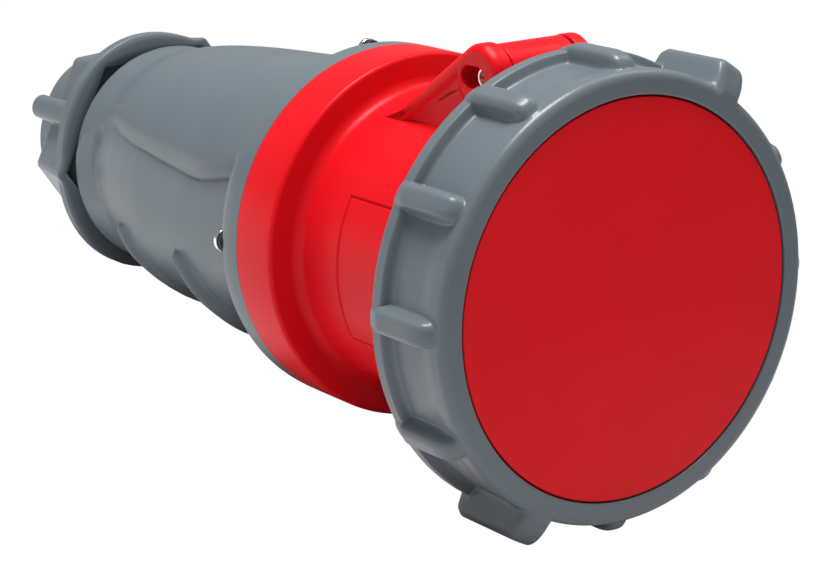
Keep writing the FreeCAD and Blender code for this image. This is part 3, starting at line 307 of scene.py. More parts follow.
def plastic(name, colour, drift, rough=(0.34, 0.46), grain=0.03, shine=0.45):
    """Colour drifts between two near tones, roughness wanders, and a fine grain is bumped."""
    material, nodes, links, surface, place = shader_nodes(name)
    cloud = noise(nodes, links, place, CLOUD_SCALE, 3.0)
    tones = nodes.new("ShaderNodeValToRGB")
    tones.color_ramp.elements[0].position = 0.3
    tones.color_ramp.elements[0].color = linear(drift)
    tones.color_ramp.elements[1].position = 0.7
    tones.color_ramp.elements[1].color = linear(colour)
    links.new(cloud.outputs["Fac"], tones.inputs["Fac"])
    links.new(tones.outputs["Color"], surface.inputs["Base Color"])
    patches = noise(nodes, links, place, PATCH_SCALE, 4.0)
    links.new(mapped(nodes, links, patches.outputs["Fac"], *rough), surface.inputs["Roughness"])
    fine = noise(nodes, links, place, GRAIN_SCALE, 2.0)
    bump = nodes.new("ShaderNodeBump")
    bump.inputs["Strength"].default_value = grain
    bump.inputs["Distance"].default_value = 0.0002
    links.new(fine.outputs["Fac"], bump.inputs["Height"])
    links.new(bump.outputs["Normal"], surface.inputs["Normal"])
    surface.inputs["Specular IOR Level"].default_value = shine
    return material


RED = plastic("red_plastic", "D4121C", "CE101A", rough=(0.3, 0.4), shine=0.1)
GREY = plastic("grey_plastic", "60696F", "5C656B", rough=(0.28, 0.35), shine=0.3)
PALE = plastic("pale_plastic", "D8D4C8", "D2CEC2", rough=(0.4, 0.55))
# DARK is the real seals' rubber, and also the painted shade of the rings under the screw heads.
DARK = plastic("seal_rubber", "24272A", "1F2225", rough=(0.55, 0.7), grain=0.12, shine=0.3)


DRAWN_MARKS = (30.0, 900.0, 900.0)


def metal(name, colour, rough, scratch):
    """Bare metal: full metallic, with a stretched noise as drawn or turned marks."""
    material, nodes, links, surface, place = shader_nodes(name)
    surface.inputs["Metallic"].default_value = 1.0
    stretch = nodes.new("ShaderNodeMapping")
    stretch.inputs["Scale"].default_value = DRAWN_MARKS
    links.new(place.outputs["Object"], stretch.inputs["Vector"])
    marks = nodes.new("ShaderNodeTexNoise")
    marks.inputs["Scale"].default_value = 4.0
    marks.inputs["Detail"].default_value = 3.0
    links.new(stretch.outputs["Vector"], marks.inputs["Vector"])
    tint = nodes.new("ShaderNodeValToRGB")
    tint.color_ramp.elements[0].color = tuple(0.86 * v for v in linear(colour)[:3]) + (1.0,)
    tint.color_ramp.elements[1].color = linear(colour)
    links.new(marks.outputs["Fac"], tint.inputs["Fac"])
    links.new(tint.outputs["Color"], surface.inputs["Base Color"])
    links.new(mapped(nodes, links, marks.outputs["Fac"], *rough), surface.inputs["Roughness"])
    bump = nodes.new("ShaderNodeBump")
    bump.inputs["Strength"].default_value = scratch
    bump.inputs["Distance"].default_value = 0.0001
    links.new(marks.outputs["Fac"], bump.inputs["Height"])
    links.new(bump.outputs["Normal"], surface.inputs["Normal"])
    return material


BRASS = metal("contact_brass", "D8B064", rough=(0.28, 0.36), scratch=0.15)
STEEL = metal("pin_steel", "E6E2DA", rough=(0.28, 0.38), scratch=0.12)
ZINC = metal("screw_steel", "E4E6E8", rough=(0.14, 0.25), scratch=0.1)
print("materials:", [m.name for m in bpy.data.materials])


def dress(piece, material, body, slot, *nodes):
    """Give a piece its finish, the body that it moves with, and the CAD nodes it stands for."""
    piece.data.materials.clear()
    piece.data.materials.append(material)
    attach(piece, body)
    if nodes:
        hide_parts(*nodes)
    return piece


# %% [markdown]
# ## The red housing
# The collar is a plain tube in front of a thick flange, with a fillet where they meet. The
# flange's front face is in shade and shows as a dark red band. On the side there is a place
# for a label: a rectangle outlined by a fine groove, left bare here. The whole moulding is one
# profile carried round, and the groove is a dip in the radius along the rectangle's outline.

# %% Housing body
COLLAR, BORE = 41.2, 38.0
FLANGE_FRONT, FLANGE, JOINT = 78.4, 50.5, 95.2
SEAT_FRONT, SEAT = 80.0, 43.2
WALL_BACK = 73.0
GROOVE_DEPTH, GROOVE_HALF = 0.6, 0.36
LABEL_FRONT, LABEL_BACK, LABEL_CLOCK, LABEL_HALF = 35.8, 60.4, -88.7, 27.5


def label_groove(x, clock):
    """Depth of the groove: a narrow dip along a rectangle's outline on the collar."""
    across = COLLAR * np.radians(np.abs(clock - LABEL_CLOCK) - LABEL_HALF)
    along = np.abs(x - (LABEL_FRONT + LABEL_BACK) / 2) - (LABEL_BACK - LABEL_FRONT) / 2
    outside = np.hypot(np.maximum(across, 0), np.maximum(along, 0))
    distance = outside + np.minimum(np.maximum(across, along), 0)
    return GROOVE_DEPTH * np.exp(-(distance / GROOVE_HALF) ** 4)


def housing_body():
    """Outer wall with its groove, flange, joint face, seat for the carrier, and bore."""
    outer_x = stations(1.0, WALL_BACK, 4.0,
                       [(LABEL_FRONT, 0.9, 0.15), (LABEL_BACK, 0.9, 0.15)])
    wall = np.stack([outer_x, np.full(len(outer_x), COLLAR)], 1)
    rest = rounded([
        (73.4, COLLAR), (FLANGE_FRONT, COLLAR, 3.4), (FLANGE_FRONT, FLANGE, 1.2),
        (JOINT, FLANGE, 0.4), (JOINT, SEAT, 0.3), (SEAT_FRONT, SEAT, 0.3),
        (SEAT_FRONT, BORE, 0.3), (0.0, BORE, 0.7), (0.0, COLLAR, 0.8), (1.0, COLLAR)],
        steps=10)[1:-1]
    profile = np.vstack([wall, rest])
    corners = [(LABEL_CLOCK + side * LABEL_HALF, 1.3, 0.2) for side in (-1, 1)]
    clock = stations(-180.0, 180.0, 1.5, corners)[:-1]
    x, radius = profile[:, :1], profile[:, 1:2]
    on_collar = (np.arange(len(profile)) < len(wall))[:, None]
    dip = np.where(on_collar, label_groove(x, clock[None, :]), 0.0)
    points = around(x, radius - dip, clock[None, :])
    return grid_mesh("housing_body", points, close_rows=True)


dress(housing_body(), RED, "housing", "red_plastic", "front_housing")

# %% [markdown]
# Two lugs stand out from the collar under the lid. They hold the locking ring's cams, and a
# plug's ring uses the same ones. Each is a rounded outline swept over part of a turn.

# %% Bayonet lugs
def sector(name, outline, middle, half, body, material, slot, flare=1.2):
    """A closed outline of (x, radius) swept over part of a turn, its ends drawn in a little."""
    clock_from, clock_to = middle - half, middle + half
    ends = np.linspace(0, 1, 5)
    ease = flare * (1 - np.sqrt(1 - (1 - ends) ** 2))
    span = np.linspace(clock_from, clock_to, 25)
    degree = np.degrees(flare / outline[:, 1].mean())
    clock = np.concatenate([clock_from + ends[:-1] * degree, span[2:-2],
                            clock_to - ends[:-1][::-1] * degree])
    shrink = np.zeros(len(clock))
    shrink[:4], shrink[-4:] = ease[:-1], ease[:-1][::-1]
    centre = outline.mean(axis=0)
    out = outline - centre
    factor = 1 - shrink[:, None] / np.abs(out).max()
    x = centre[0] + out[:, 0] * factor
    radius = centre[1] + out[:, 1] * factor
    points = around(x, radius, clock[:, None])
    return dress(grid_mesh(name, points, cap=True), material, body, slot)


LUG = rounded([(7.0, 40.0, 0), (12.0, 40.0, 0), (12.0, 49.5, 1.0), (7.0, 49.5, 1.4)],
              closed=True)
LUG_HALF = 11
for side, middle in (("upper", 60.0), ("lower", -120.0)):
    sector(f"collar_lug_{side}", LUG, middle, LUG_HALF, "housing", RED, "red_plastic")

# %% [markdown]
# ## The hinge arms
# Each arm is a plate standing on the collar. Its ear is round about the hinge, its front edge
# drops straight to the collar and its back edge slopes down. The pin passes through a short
# slot, so that the locking ring can draw the lid tight. In the photograph the near ear is
# thick and the far one thin. The plate is a ring-shaped grid: rows run from the slot's wall,
# over one face, round the soft outer edge, and back over the other.

# %% Arm plates
HINGE = np.array([29.3, 52.6])
SLOPE = math.radians(33.5)
SLOPE_UP = np.array([math.sin(SLOPE), math.cos(SLOPE)])
COLLAR_DEPTH, ARM_FOOT = 38.7, 33.0
SLOT_HALF, SLOT_PLAY = 2.9, 3.8
BOSS, WEB_MARGIN, WEB_DEPTH, WEB_SOFT = 8.6, 3.9, 1.3, 1.2
HARD_EDGE = 0.5


def arm_outline(count, ear):
    """Points round the arm: an arc about the hinge, the slope, the foot and the front edge."""
    start = HINGE + ear * SLOPE_UP
    reach = (start[1] - ARM_FOOT) / math.tan(SLOPE)
    foot = np.array([start[0] + reach, ARM_FOOT])
    front = np.array([HINGE[0] - ear, ARM_FOOT])
    angle = np.linspace(math.pi, math.pi / 2 - SLOPE, 40)
    arc = np.stack([HINGE[0] + ear * np.cos(angle), HINGE[1] + ear * np.sin(angle)], 1)
    path = np.vstack([arc, foot, front, arc[:1]])
    length = np.concatenate([[0], np.cumsum(np.linalg.norm(np.diff(path, axis=0), axis=1))])
    at = np.linspace(0, length[-1], count, endpoint=False)
    return np.stack([np.interp(at, length, path[:, i]) for i in (0, 1)], 1)


def slot_outline(directions):
    """Where rays from the slot's front centre leave the slot, to a hundredth of a mm."""
    t = np.linspace(0.0, 14.0, 1401)
    x = directions[:, :1] * t
    z = directions[:, 1:] * t
    inside = np.hypot(x - np.clip(x, 0, SLOT_PLAY), z) <= SLOT_HALF
    reach = (inside * t).max(axis=1)
    return HINGE + directions * reach[:, None]


def arm_face(points, y, ear):
    """Push the outer face in over the web, behind the round boss and under the slope."""
    from_hinge = points - HINGE
    under_slope = ear - from_hinge @ SLOPE_UP
    window = np.minimum(np.hypot(*from_hinge.T) - BOSS, under_slope - WEB_MARGIN)
    return y - WEB_DEPTH * ramp(window, -WEB_SOFT, WEB_SOFT)


def arm_plate(name, side, ear, inner_y, outer_y, soft):
    """Rows blend from the slot's outline to the arm's, then the edge is rounded over."""
    outer = arm_outline(320, ear)
    ray = outer - HINGE
    hole = slot_outline(ray / np.linalg.norm(ray, axis=1)[:, None])
    tangent = np.roll(outer, -1, 0) - np.roll(outer, 1, 0)
    normal = np.stack([tangent[:, 1], -tangent[:, 0]], 1)
    normal /= np.linalg.norm(normal, axis=1)[:, None]
    normal *= np.sign((normal * ray).sum(axis=1))[:, None]
    inner_face = np.full(len(outer), inner_y)
    wall = [(hole, inner_face), (hole, inner_face + 0.2)]
    for t in np.linspace(0, math.pi / 2, 4):
        lip = HARD_EDGE * (1 - math.cos(t))
        wall.append((hole + (hole - HINGE) * 0.3 * lip,
                     inner_face + outer_y - inner_y - HARD_EDGE * (1 - math.sin(t))))
    face = outer - normal * soft
    start = hole + (hole - HINGE) * 0.15
    for part in np.linspace(0, 1, 26)[1:-1]:
        place = start + (face - start) * part
        wall.append((place, arm_face(place, outer_y, ear)))
    for t in np.linspace(0, math.pi / 2, 7):
        place = outer - normal * soft * (1 - math.sin(t))
        wall.append((place, arm_face(place, outer_y, ear) - soft * (1 - math.cos(t))))
    for t in np.linspace(0, math.pi / 2, 4):
        wall.append((outer - normal * HARD_EDGE * (1 - math.cos(t)),
                     inner_face + HARD_EDGE * (1 - math.sin(t))))
    wall.append((hole + (outer - hole) * 0.5, inner_face))
    rows = []
    for place, y in wall:
        bottom = np.sqrt(COLLAR_DEPTH ** 2 - y ** 2)
        rows.append(in_frame(place[:, 0], side * y, np.maximum(place[:, 1], bottom)))
    return grid_mesh(name, np.stack(rows), close_rows=True, sharp=60)


near_arm = arm_plate("hinge_arm_left", 1, ear=8.75, inner_y=13.0, outer_y=18.4, soft=2.2)
far_arm = arm_plate("hinge_arm_right", -1, ear=8.2, inner_y=9.0, outer_y=13.6, soft=1.4)
for arm in (near_arm, far_arm):
    dress(arm, RED, "housing", "red_plastic")

# %% [markdown]
# ## The hinge pin
# The pin is rolled from sheet, so it is a tube with a slit. Its bright end shows inside the
# slot. A rolled section is an open ring: outer arc, then inner arc back, swept sideways.

# %% Rolled pin
PIN_OUTER, PIN_INNER, PIN_SWEEP = 2.5, 1.8, 142


def rolled_pin():
    """Section of an outer and an inner arc, with a gap between their ends, along the pin."""
    angle = np.linspace(math.radians(-PIN_SWEEP), math.radians(PIN_SWEEP), 48)
    circle = np.stack([np.cos(angle), np.sin(angle)], 1)
    section = np.vstack([PIN_OUTER * circle, PIN_INNER * circle[::-1]])
    centre_line = (PIN_OUTER + PIN_INNER) / 2
    middle = centre_line * section / np.linalg.norm(section, axis=1)[:, None]
    rows = []
    for y, pull in ((-12.8, 0.35), (-12.6, 0.0), (16.0, 0.0), (16.2, 0.35)):
        ring = section * (1 - pull) + middle * pull
        rows.append(in_frame(HINGE[0] + ring[:, 0], y, HINGE[1] + ring[:, 1]))
    return grid_mesh("rolled_pin", np.stack(rows), cap=True)


dress(rolled_pin(), STEEL, "lid", "pin_steel", "hinge_pin")

# %% [markdown]
# ## The lid
# From outside the lid is a flat red disc inside the locking ring. Behind the disc it has a
# shoulder that the ring pulls on, a skirt round the collar and a lip that holds the seal. At
# the top an arm reaches back to a barrel between the two ears.

# %% Lid disc
LID_FRONT, LID_BACK, ON_AXIS = -8.0, -3.6, 1e-4
LID = np.vstack([[LID_FRONT, ON_AXIS], rounded([
    (LID_FRONT, 1.0), (LID_FRONT, 51.0, 0.35), (-5.7, 51.0, 0.3), (-5.7, 54.4, 0.5),
    (-2.5, 54.4, 0.5), (-2.5, 46.3, 0.6), (5.0, 46.3, 0.6), (5.0, 43.8, 0.6),
    (LID_BACK, 43.8, 0.2), (LID_BACK, 37.2, 0.2), (-1.0, 37.2, 0.4), (-1.0, 35.2, 0.4),
    (LID_BACK, 35.2, 0.4), (LID_BACK, 1.0)], steps=5), [LID_BACK, ON_AXIS]])


def lid_disc():
    """The lid's section carried round. Its two ends all but touch the axis and are capped."""
    clock = np.linspace(0, 360, 256, endpoint=False)
    return grid_mesh("lid_disc", carried_round(LID, clock), cap=True, sharp=40)


dress(lid_disc(), RED, "lid", "red_plastic", "lid")


BARREL_FROM, BARREL_TO, BARREL_BORE, BARREL = -8.2, 12.2, 2.6, 8.0


def lid_barrel():
    """A tube about the pin: bore, end face, rounded rim and outside, closed on itself."""
    section = rounded([(BARREL_FROM, BARREL_BORE, 0.2), (BARREL_FROM, BARREL, 0.4),
                       (BARREL_TO, BARREL, 0.4), (BARREL_TO, BARREL_BORE, 0.2)], closed=True)
    angle = np.linspace(0, 2 * math.pi, 96, endpoint=False)
    y, radius = section[:, :1], section[:, 1:]
    points = in_frame(HINGE[0] + radius * np.cos(angle), y, HINGE[1] + radius * np.sin(angle))
    return grid_mesh("lid_barrel", points, close_rows=True)


def lid_arm():
    """A bar of rounded section from the disc's shoulder to the barrel."""
    x = np.array([-4.2, -3.9, -3.2, 8.0, 20.0, 31.0])
    pull = np.array([0.6, 0.25, 0.0, 0.0, 0.0, 0.0])
    section = rounded([(-8.5, 45.4, 0.8), (8.5, 45.4, 0.8), (8.5, 50.2, 1.4), (-8.5, 50.2, 1.4)],
                      closed=True)
    centre = section.mean(axis=0)
    rows = [in_frame(place, *(centre + (section - centre) * (1 - inset / 6)).T)
            for place, inset in zip(x, pull)]
    return grid_mesh("lid_arm", np.stack(rows), cap=True)


dress(lid_barrel(), RED, "lid", "red_plastic")
dress(lid_arm(), RED, "lid", "red_plastic")

# %% [markdown]
# ## The locking ring
# The ring is the most carved piece. Its outside has ten ribs and two wide grips for the hand.
# Between the ribs the wall is sunk, leaving a raised rim at the back. The front edge is a
# small round that catches the light. One height field makes all of this: the radius is a
# function of the distance along the axis and of the clock angle. Seen from outside a rib is a
# bar with a round nose, and its height falls off near the bar's border like a quarter circle.
# A grip is a wider bar. Its front leans back, and its crest is level up to a short slant.

# %% Ring surface
RING_FRONT, RING_BACK, RING_EDGE = -8.4, 17.7, 2.4
RING_WALL, PANEL_SUNK, RIM_RISE, RING_MEAN = 57.6, 0.6, 2.7, 60.0
REAR_ROUND = 0.7
RIBS = [1.2 + 30.0 * step for step in range(12) if step not in (1, 7)]
RIB_CREST, RIB_HALF, RIB_ROUND = 61.6, 3.3, 2.3
GRIPS = (33.8, 209.6)
GRIP_CREST, GRIP_HALF, GRIP_ROUND = 65.2, 4.3, 1.9
GRIP_FOOT, GRIP_LEAN = 58.5, 1.9


def quarter(inward, soft):
    """Drop below a crest near its edge: soft - sqrt(soft^2 - (soft - inward)^2)."""
    left = soft - np.clip(inward, 0, soft)
    return soft - np.sqrt(np.maximum(soft ** 2 - left ** 2, 0))


def bar_distance(x, across, half_width, front, corner):
    """How far a place lies inside a bar with a straight front and rounded front corners."""
    past_side = np.abs(across) - (half_width - corner)
    past_front = (front + corner) - x
    outside = np.hypot(np.maximum(past_side, 0), np.maximum(past_front, 0))
    return corner - outside - np.minimum(np.maximum(past_side, past_front), 0)


def bar_top(crest, distance, soft, fall):
    """The crest, less a quarter round inside the bar's border and a steep fall outside it."""
    return crest - quarter(distance, soft) + np.minimum(distance, 0) * fall


def grip_top(x, across):
    """A wide grip: a front that leans back, a level crest and a short slant behind."""
    distance = bar_distance(x, across, GRIP_HALF, RING_FRONT - 0.3, 2.6)
    lean = GRIP_FOOT + GRIP_LEAN * (x - RING_FRONT)
    level = -blend_over(-GRIP_CREST, -lean, 2.4)
    crest = level - 1.5 * blend_over(0.0, x - 16.6, 0.8)
    return bar_top(crest, distance, GRIP_ROUND, 5.0)


def rib_top(x, across):
    """A narrow rib: a long round nose in front and a gentle slant to the rim behind."""
    distance = bar_distance(x, across, RIB_HALF, -6.3, 3.1)
    nose = np.clip((1.2 - x) / 7.3, 0, 1)
    level = RIB_CREST - 3.4 * (1 - np.sqrt(1 - nose ** 2))
    crest = level - 0.4 * blend_over(0.0, x - 13.4, 1.0)
    return bar_top(crest, distance, RIB_ROUND, 4.0)


def ring_outside(x, clock):
    """Radius of the ring's outside: rounded front, sunk panels, back rim, ribs and grips."""
    into = np.clip(x - RING_FRONT, 0, RING_EDGE)
    wall = RING_WALL - PANEL_SUNK * ramp(x, -4.0, 2.0) + RIM_RISE * ramp(x, 12.6, 14.1)
    base = wall - quarter(into, RING_EDGE)
    for middles, reach, top, softness in ((RIBS, 9, rib_top, 1.1), (GRIPS, 11, grip_top, 1.3)):
        for middle in middles:
            across = RING_MEAN * np.radians(away_from(clock, middle))
            near = np.abs(across) < reach
            base = np.where(near, blend_over(base, top(x, across), softness), base)
    return base


def locking_ring():
    """Outside height field, then the back face, the bore, the lip and the front face."""
    x = np.concatenate([
        RING_FRONT + RING_EDGE * (1 - np.cos(np.linspace(0, math.pi / 2, 9))),
        stations(-6.5, 2.0, 0.4), stations(3.0, 12.5, 1.3), stations(13.0, 17.0, 0.2)])
    special = [(middle, 6.5) for middle in RIBS] + [(middle, 9.0) for middle in GRIPS]
    clock = np.unique(np.concatenate(
        [stations(0, 360, 1.5)] + [middle + np.arange(-reach, reach, 0.26)
                                   for middle, reach in special]) % 360)
    clock = clock[np.concatenate([[True], np.diff(clock) > 0.08])]
    outside = ring_outside(x[:, None], clock[None, :])
    field = around(x[:, None], outside, clock[None, :])
    edge = outside[-1]
    rear = [around(RING_BACK - REAR_ROUND * (1 - math.sin(t)),
                   edge - REAR_ROUND * (1 - math.cos(t)), clock)
            for t in np.linspace(0.3, math.pi / 2, 4)]
    inner = rounded([(RING_BACK, 58.0), (RING_BACK, 55.0, 0.5), (-6.0, 55.0, 0.3),
                     (-6.0, 51.5, 0.3), (RING_FRONT, 51.5, 0.4), (RING_FRONT, 52.2)], steps=3)
    rear.append(around(RING_BACK, np.minimum(edge, 59.0) - 0.5, clock))
    inside = carried_round(inner, clock)
    face = [around(RING_FRONT, np.minimum(outside[0], 55.2) - 0.3, clock)]
    points = np.concatenate([field, np.stack(rear), inside, np.stack(face)])
    return grid_mesh("ring_body", points, close_rows=True, sharp=65)


dress(locking_ring(), GREY, "ring", "grey_plastic", "locking_ring")

# %% [markdown]
# Inside, two cams pull the lid tight when the ring is turned, and four beads keep the ring on
# the lid's shoulder. They only show when the lid is open.

# %% Cams and beads
CAM_HALF, BEAD_HALF = 10, 12
CAM = rounded([(12.3, 46.0, 0.8), (16.5, 46.0, 0.8), (16.5, 56.0, 0), (12.3, 56.0, 0)],
              closed=True)
for name, middle in (("upper", 30.0), ("lower", -150.0)):
    sector(f"ring_cam_{name}", CAM, middle, CAM_HALF, "ring", GREY, "grey_plastic")
BEAD = rounded([(-2.2, 53.4, 0.2), (-0.6, 54.2, 0.2), (-0.6, 56.0, 0), (-2.2, 56.0, 0)],
               closed=True)
for count in range(4):
    sector(f"ring_bead_{count + 1}", BEAD, 45.0 + 90.0 * count, BEAD_HALF, "ring", GREY,
           "grey_plastic", flare=0.3)

# %% [markdown]
# ## The handle
# The handle is another height field. Its top is a dome that narrows to the cable and ends in
# a short straight band. Lower down the surface steps in to a panel. The step's soft upper
# edge and its sharp foot are two long s-curves, and at the back both turn down to the end.
# Two finger ridges run round the underside. Each rises steeply at its front and falls away
# slowly. Every curve is a short table. The panel's taper is read with straight lines, the
# others with a smooth cubic.

# %% Handle surface
DOME = np.array([(95.2, 50.4), (100.2, 50.4), (103.0, 50.0), (105.0, 49.0), (106.6, 47.4),
                 (108.2, 45.8), (110.5, 44.5), (114.0, 43.7), (119.0, 43.25), (125.0, 42.85),
                 (135.0, 42.3), (145.0, 41.7), (155.0, 41.1), (165.0, 40.4), (175.0, 39.5),
                 (186.0, 38.2), (194.0, 36.9), (200.0, 35.5), (204.5, 34.5), (209.0, 34.2),
                 (214.0, 34.2), (216.8, 34.0), (217.8, 33.2), (218.2, 32.3)])
PANEL = np.array([(114.0, 40.1), (146.0, 39.2), (174.0, 38.0), (184.0, 37.1), (192.0, 36.1),
                  (200.0, 34.6), (206.0, 33.3)])
STEP_TOP = np.array([(112.0, 55.0), (114.3, 56.8), (120.7, 61.0), (126.0, 63.6), (131.0, 65.0),
                     (138.2, 64.0), (146.2, 61.8), (158.0, 60.8), (170.4, 60.0), (186.0, 56.4),
                     (195.5, 52.6), (202.3, 53.8), (206.1, 56.8), (209.4, 61.2), (212.8, 68.2),
                     (215.4, 75.9), (216.9, 84.0), (218.4, 96.0)])
STEP_FOOT = np.array([(113.0, 66.0), (124.0, 69.6), (129.0, 71.0), (135.2, 72.6), (140.0, 72.6),
                      (146.0, 71.9), (157.6, 70.6), (169.7, 68.8), (178.3, 67.6), (188.6, 65.2),
                      (196.8, 63.5), (202.5, 67.1), (205.4, 71.5), (206.5, 90.0)])
PANEL_END = np.array([(52.0, 195.0), (60.0, 196.5), (63.6, 198.0), (67.1, 202.5), (71.5, 205.2),
                      (77.9, 206.0), (84.0, 205.8), (97.0, 204.9), (110.0, 203.8),
                      (123.0, 203.1), (180.0, 203.0)])
FRONT_RIDGE = {
    "foot": np.array([(0.0, 137.6), (25.0, 138.2), (38.0, 141.5), (47.0, 144.5), (55.0, 145.4),
                      (63.0, 146.0), (68.0, 147.2), (72.0, 149.0), (80.0, 151.0)]),
    "rise": np.array([(0.0, 4.6), (30.0, 4.3), (45.0, 3.5), (60.0, 3.1), (68.0, 2.7),
                      (72.0, 2.2), (80.0, 2.0)])}
REAR_RIDGE = {
    "foot": np.array([(0.0, 171.6), (20.0, 172.5), (35.0, 177.5), (45.0, 182.5), (52.0, 184.8),
                      (60.0, 185.2), (70.0, 185.6), (80.0, 186.0)]),
    "rise": np.array([(0.0, 2.9), (30.0, 2.7), (45.0, 2.4), (65.0, 2.3), (71.0, 2.0),
                      (80.0, 2.0)])}
RIDGE_TIP, RIDGE_RUN, BAND_RADIUS = 71.5, 3.2, 34.7
BAND_BACK, LIP_BACK, LIP_HEIGHT = 217.0, 216.4, 0.45
CREASE_DEPTH, CREASE_HALF, MM_PER_DEGREE = 0.14, 0.6, 0.67


def smooth_table(at, table):
    """A cubic curve through the table's points, each slope the mean of its two chords."""
    places, values = table[:, 0], table[:, 1]
    chord = np.diff(values) / np.diff(places)
    slope = np.concatenate([chord[:1], (chord[:-1] + chord[1:]) / 2, chord[-1:]])
    i = np.clip(np.searchsorted(places, at) - 1, 0, len(places) - 2)
    width = places[i + 1] - places[i]
    t = np.clip((at - places[i]) / width, 0, 1)
    start = (1 + 2 * t) * (1 - t) ** 2 * values[i] + t * (1 - t) ** 2 * width * slope[i]
    end = (3 - 2 * t) * t ** 2 * values[i + 1] - (1 - t) * t ** 2 * width * slope[i + 1]
    return start + end


def ridge(x, low, curves):
    """Steep front flank from the foot's curve, long back slope, and a short rounded tip."""
    start = smooth_table(low, curves["foot"])
    flank = 1 - (1 - np.clip((x - start) / RIDGE_RUN, 0, 1)) ** 1.5
    back = 1.5 + 8.0 * ramp(RIDGE_TIP - low, 0.0, 20.0)
    fall = 1 - ramp((x - start - RIDGE_RUN) / back, 0.0, 1.0)
    tip = 1 - ramp(low, RIDGE_TIP - 1.8, RIDGE_TIP + 0.6)
    return smooth_table(low, curves["rise"]) * flank * fall * tip


def panel_floor(x, high):
    """The panel's taper, then a straight band from the panel's end to the handle's."""
    end = smooth_table(high, PANEL_END)
    floor = np.interp(np.minimum(x, end), PANEL[:, 0], PANEL[:, 1])
    past = np.clip((x - end) / (BAND_BACK - end), 0, 1) ** 0.8
    return floor + (BAND_RADIUS - floor) * past


def handle_outside(x, clock):
    """Dome level above the step, panel level below it, a crease at its foot, and ridges."""
    high = np.abs(away_from(clock, 0.0))
    low = 180 - high
    top, foot = smooth_table(x, STEP_TOP), smooth_table(x, STEP_FOOT)
    end_lip = LIP_HEIGHT * ramp(high, top - 0.6, top + 0.6) * ramp(x, 190.0, 200.0)
    upper = smooth_table(x, DOME) + end_lip * (1 - ramp(x, LIP_BACK, 218.0))
    down = np.clip((high - top) / np.maximum(foot - top, 1.0), 0, 1) ** 2.2
    down = down * ramp(x, 113.4, 115.2)
    floor = np.where(x > LIP_BACK, upper, panel_floor(x, high))
    crease = CREASE_DEPTH * np.exp(-((high - foot) * MM_PER_DEGREE / CREASE_HALF) ** 2)
    crease = crease * ramp(x, 116.0, 119.0) * (1 - ramp(x, 194.0, 204.0))
    surface = upper + (floor - upper) * down - crease
    for curves in (FRONT_RIDGE, REAR_RIDGE):
        surface = surface + ridge(x, low, curves) * down
    return surface


SCREW_CLOCKS = (1.0, 91.0, -179.0, -88.6)
SCREW_CIRCLE, NOTCH, NOTCH_FRONT, NOTCH_BACK = 47.6, 3.7, 103.0, 112.0


def notched(x, clock, radius):
    """Open notches for the four screws, cut down to a flat seat behind the flange."""
    for middle in SCREW_CLOCKS:
        away = np.radians(away_from(clock, middle))
        across = radius * np.sin(away)
        height = radius * np.cos(away) - SCREW_CIRCLE
        inside = np.hypot(across, np.minimum(height, 0)) < NOTCH
        seat = SCREW_CIRCLE - np.sqrt(np.maximum(NOTCH ** 2 - across ** 2, 0))
        cut = inside & (x > NOTCH_FRONT) & (x < NOTCH_BACK)
        radius = np.where(cut, np.minimum(radius, seat), radius)
    return radius


def handle_shell():
    """Outside height field, the back end, the threaded spigot, the inside and the front."""
    x = spaced(np.concatenate([
        stations(95.3, 115.0, 0.6), stations(102.6, 103.4, 0.1), stations(112.8, 116.0, 0.3),
        stations(116.0, 217.0, 0.9), [217.3, 217.6, 217.9, 218.2]]), 0.1)
    finer = [(-180.0, 180.0, 1.6), (50.0, 78.0, 0.6), (-78.0, -50.0, 0.6),
             (104.0, 114.0, 0.5), (-114.0, -104.0, 0.5)]
    finer += [(middle - 5.4, middle + 5.4, 0.36) for middle in SCREW_CLOCKS]
    clock = spaced(np.concatenate([np.arange(*part) for part in finer]) % 360, 0.3)
    outside = notched(x[:, None], clock[None, :], handle_outside(x[:, None], clock[None, :]))
    field = around(x[:, None], outside, clock[None, :])
    rest = rounded([
        (218.2, 31.8), (218.2, 28.0, 0.4), (233.0, 28.0, 0.8), (233.0, 25.0, 0.3),
        (206.0, 25.0, 0.3), (206.0, 23.0, 0.3), (192.0, 23.0, 0.6), (192.0, 33.1, 0.6),
        (106.2, 33.1, 0.6), (106.2, 38.9, 0.6), (87.5, 38.9, 0.4), (87.5, 42.9, 0.4),
        (JOINT, 42.9, 0.2), (JOINT, 50.2, 0.2)], steps=3)
    points = np.concatenate([field, carried_round(rest, clock)])
    return grid_mesh("handle_shell", points, close_rows=True, sharp=55)


dress(handle_shell(), GREY, "housing", "grey_plastic", "handle")

# %% [markdown]
# ## Screws
# The heads are bright zinc, each with a socket for a key. Under each head sits a dark ring of
# painted shade, standing in for the shadowed gap between head and flange. Head and ring are
# profiles turned about the screw's own axis.

# %% Screw heads
def screw_part(name, clock, corners):
    """Rows of circles about the screw's own axis, one for each point of the profile."""
    profile = rounded(corners, steps=4)
    angle = np.linspace(0, 2 * math.pi, 48, endpoint=False)
    centre_y = -SCREW_CIRCLE * math.sin(math.radians(clock))
    centre_z = SCREW_CIRCLE * math.cos(math.radians(clock))
    x, radius = profile[:, :1], profile[:, 1:]
    points = in_frame(x, centre_y + radius * np.cos(angle), centre_z + radius * np.sin(angle))
    return grid_mesh(name, points, cap=True)


HEAD = [(88.0, 1.5), (105.1, 1.5, 0.1), (105.1, 3.25, 0.2), (106.6, 3.25, 0.5),
        (106.6, 2.0, 0.15), (105.3, 2.0, 0.2), (105.3, 0.05)]
# The dark ring under each head is painted shade for the shadowed gap below the head.
SHADE_RING = [(103.1, 1.6), (103.1, 3.0, 0.3), (105.0, 3.0, 0.3), (105.0, 1.6)]
for number, clock in enumerate(SCREW_CLOCKS, 1):
    head = screw_part(f"screw_{number}", clock, HEAD)
    dress(head, ZINC, "housing", "screw_steel")
    dress(screw_part(f"screw_shade_ring_{number}", clock, SHADE_RING), DARK, "housing",
          "seal_rubber")
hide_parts("housing_screws")

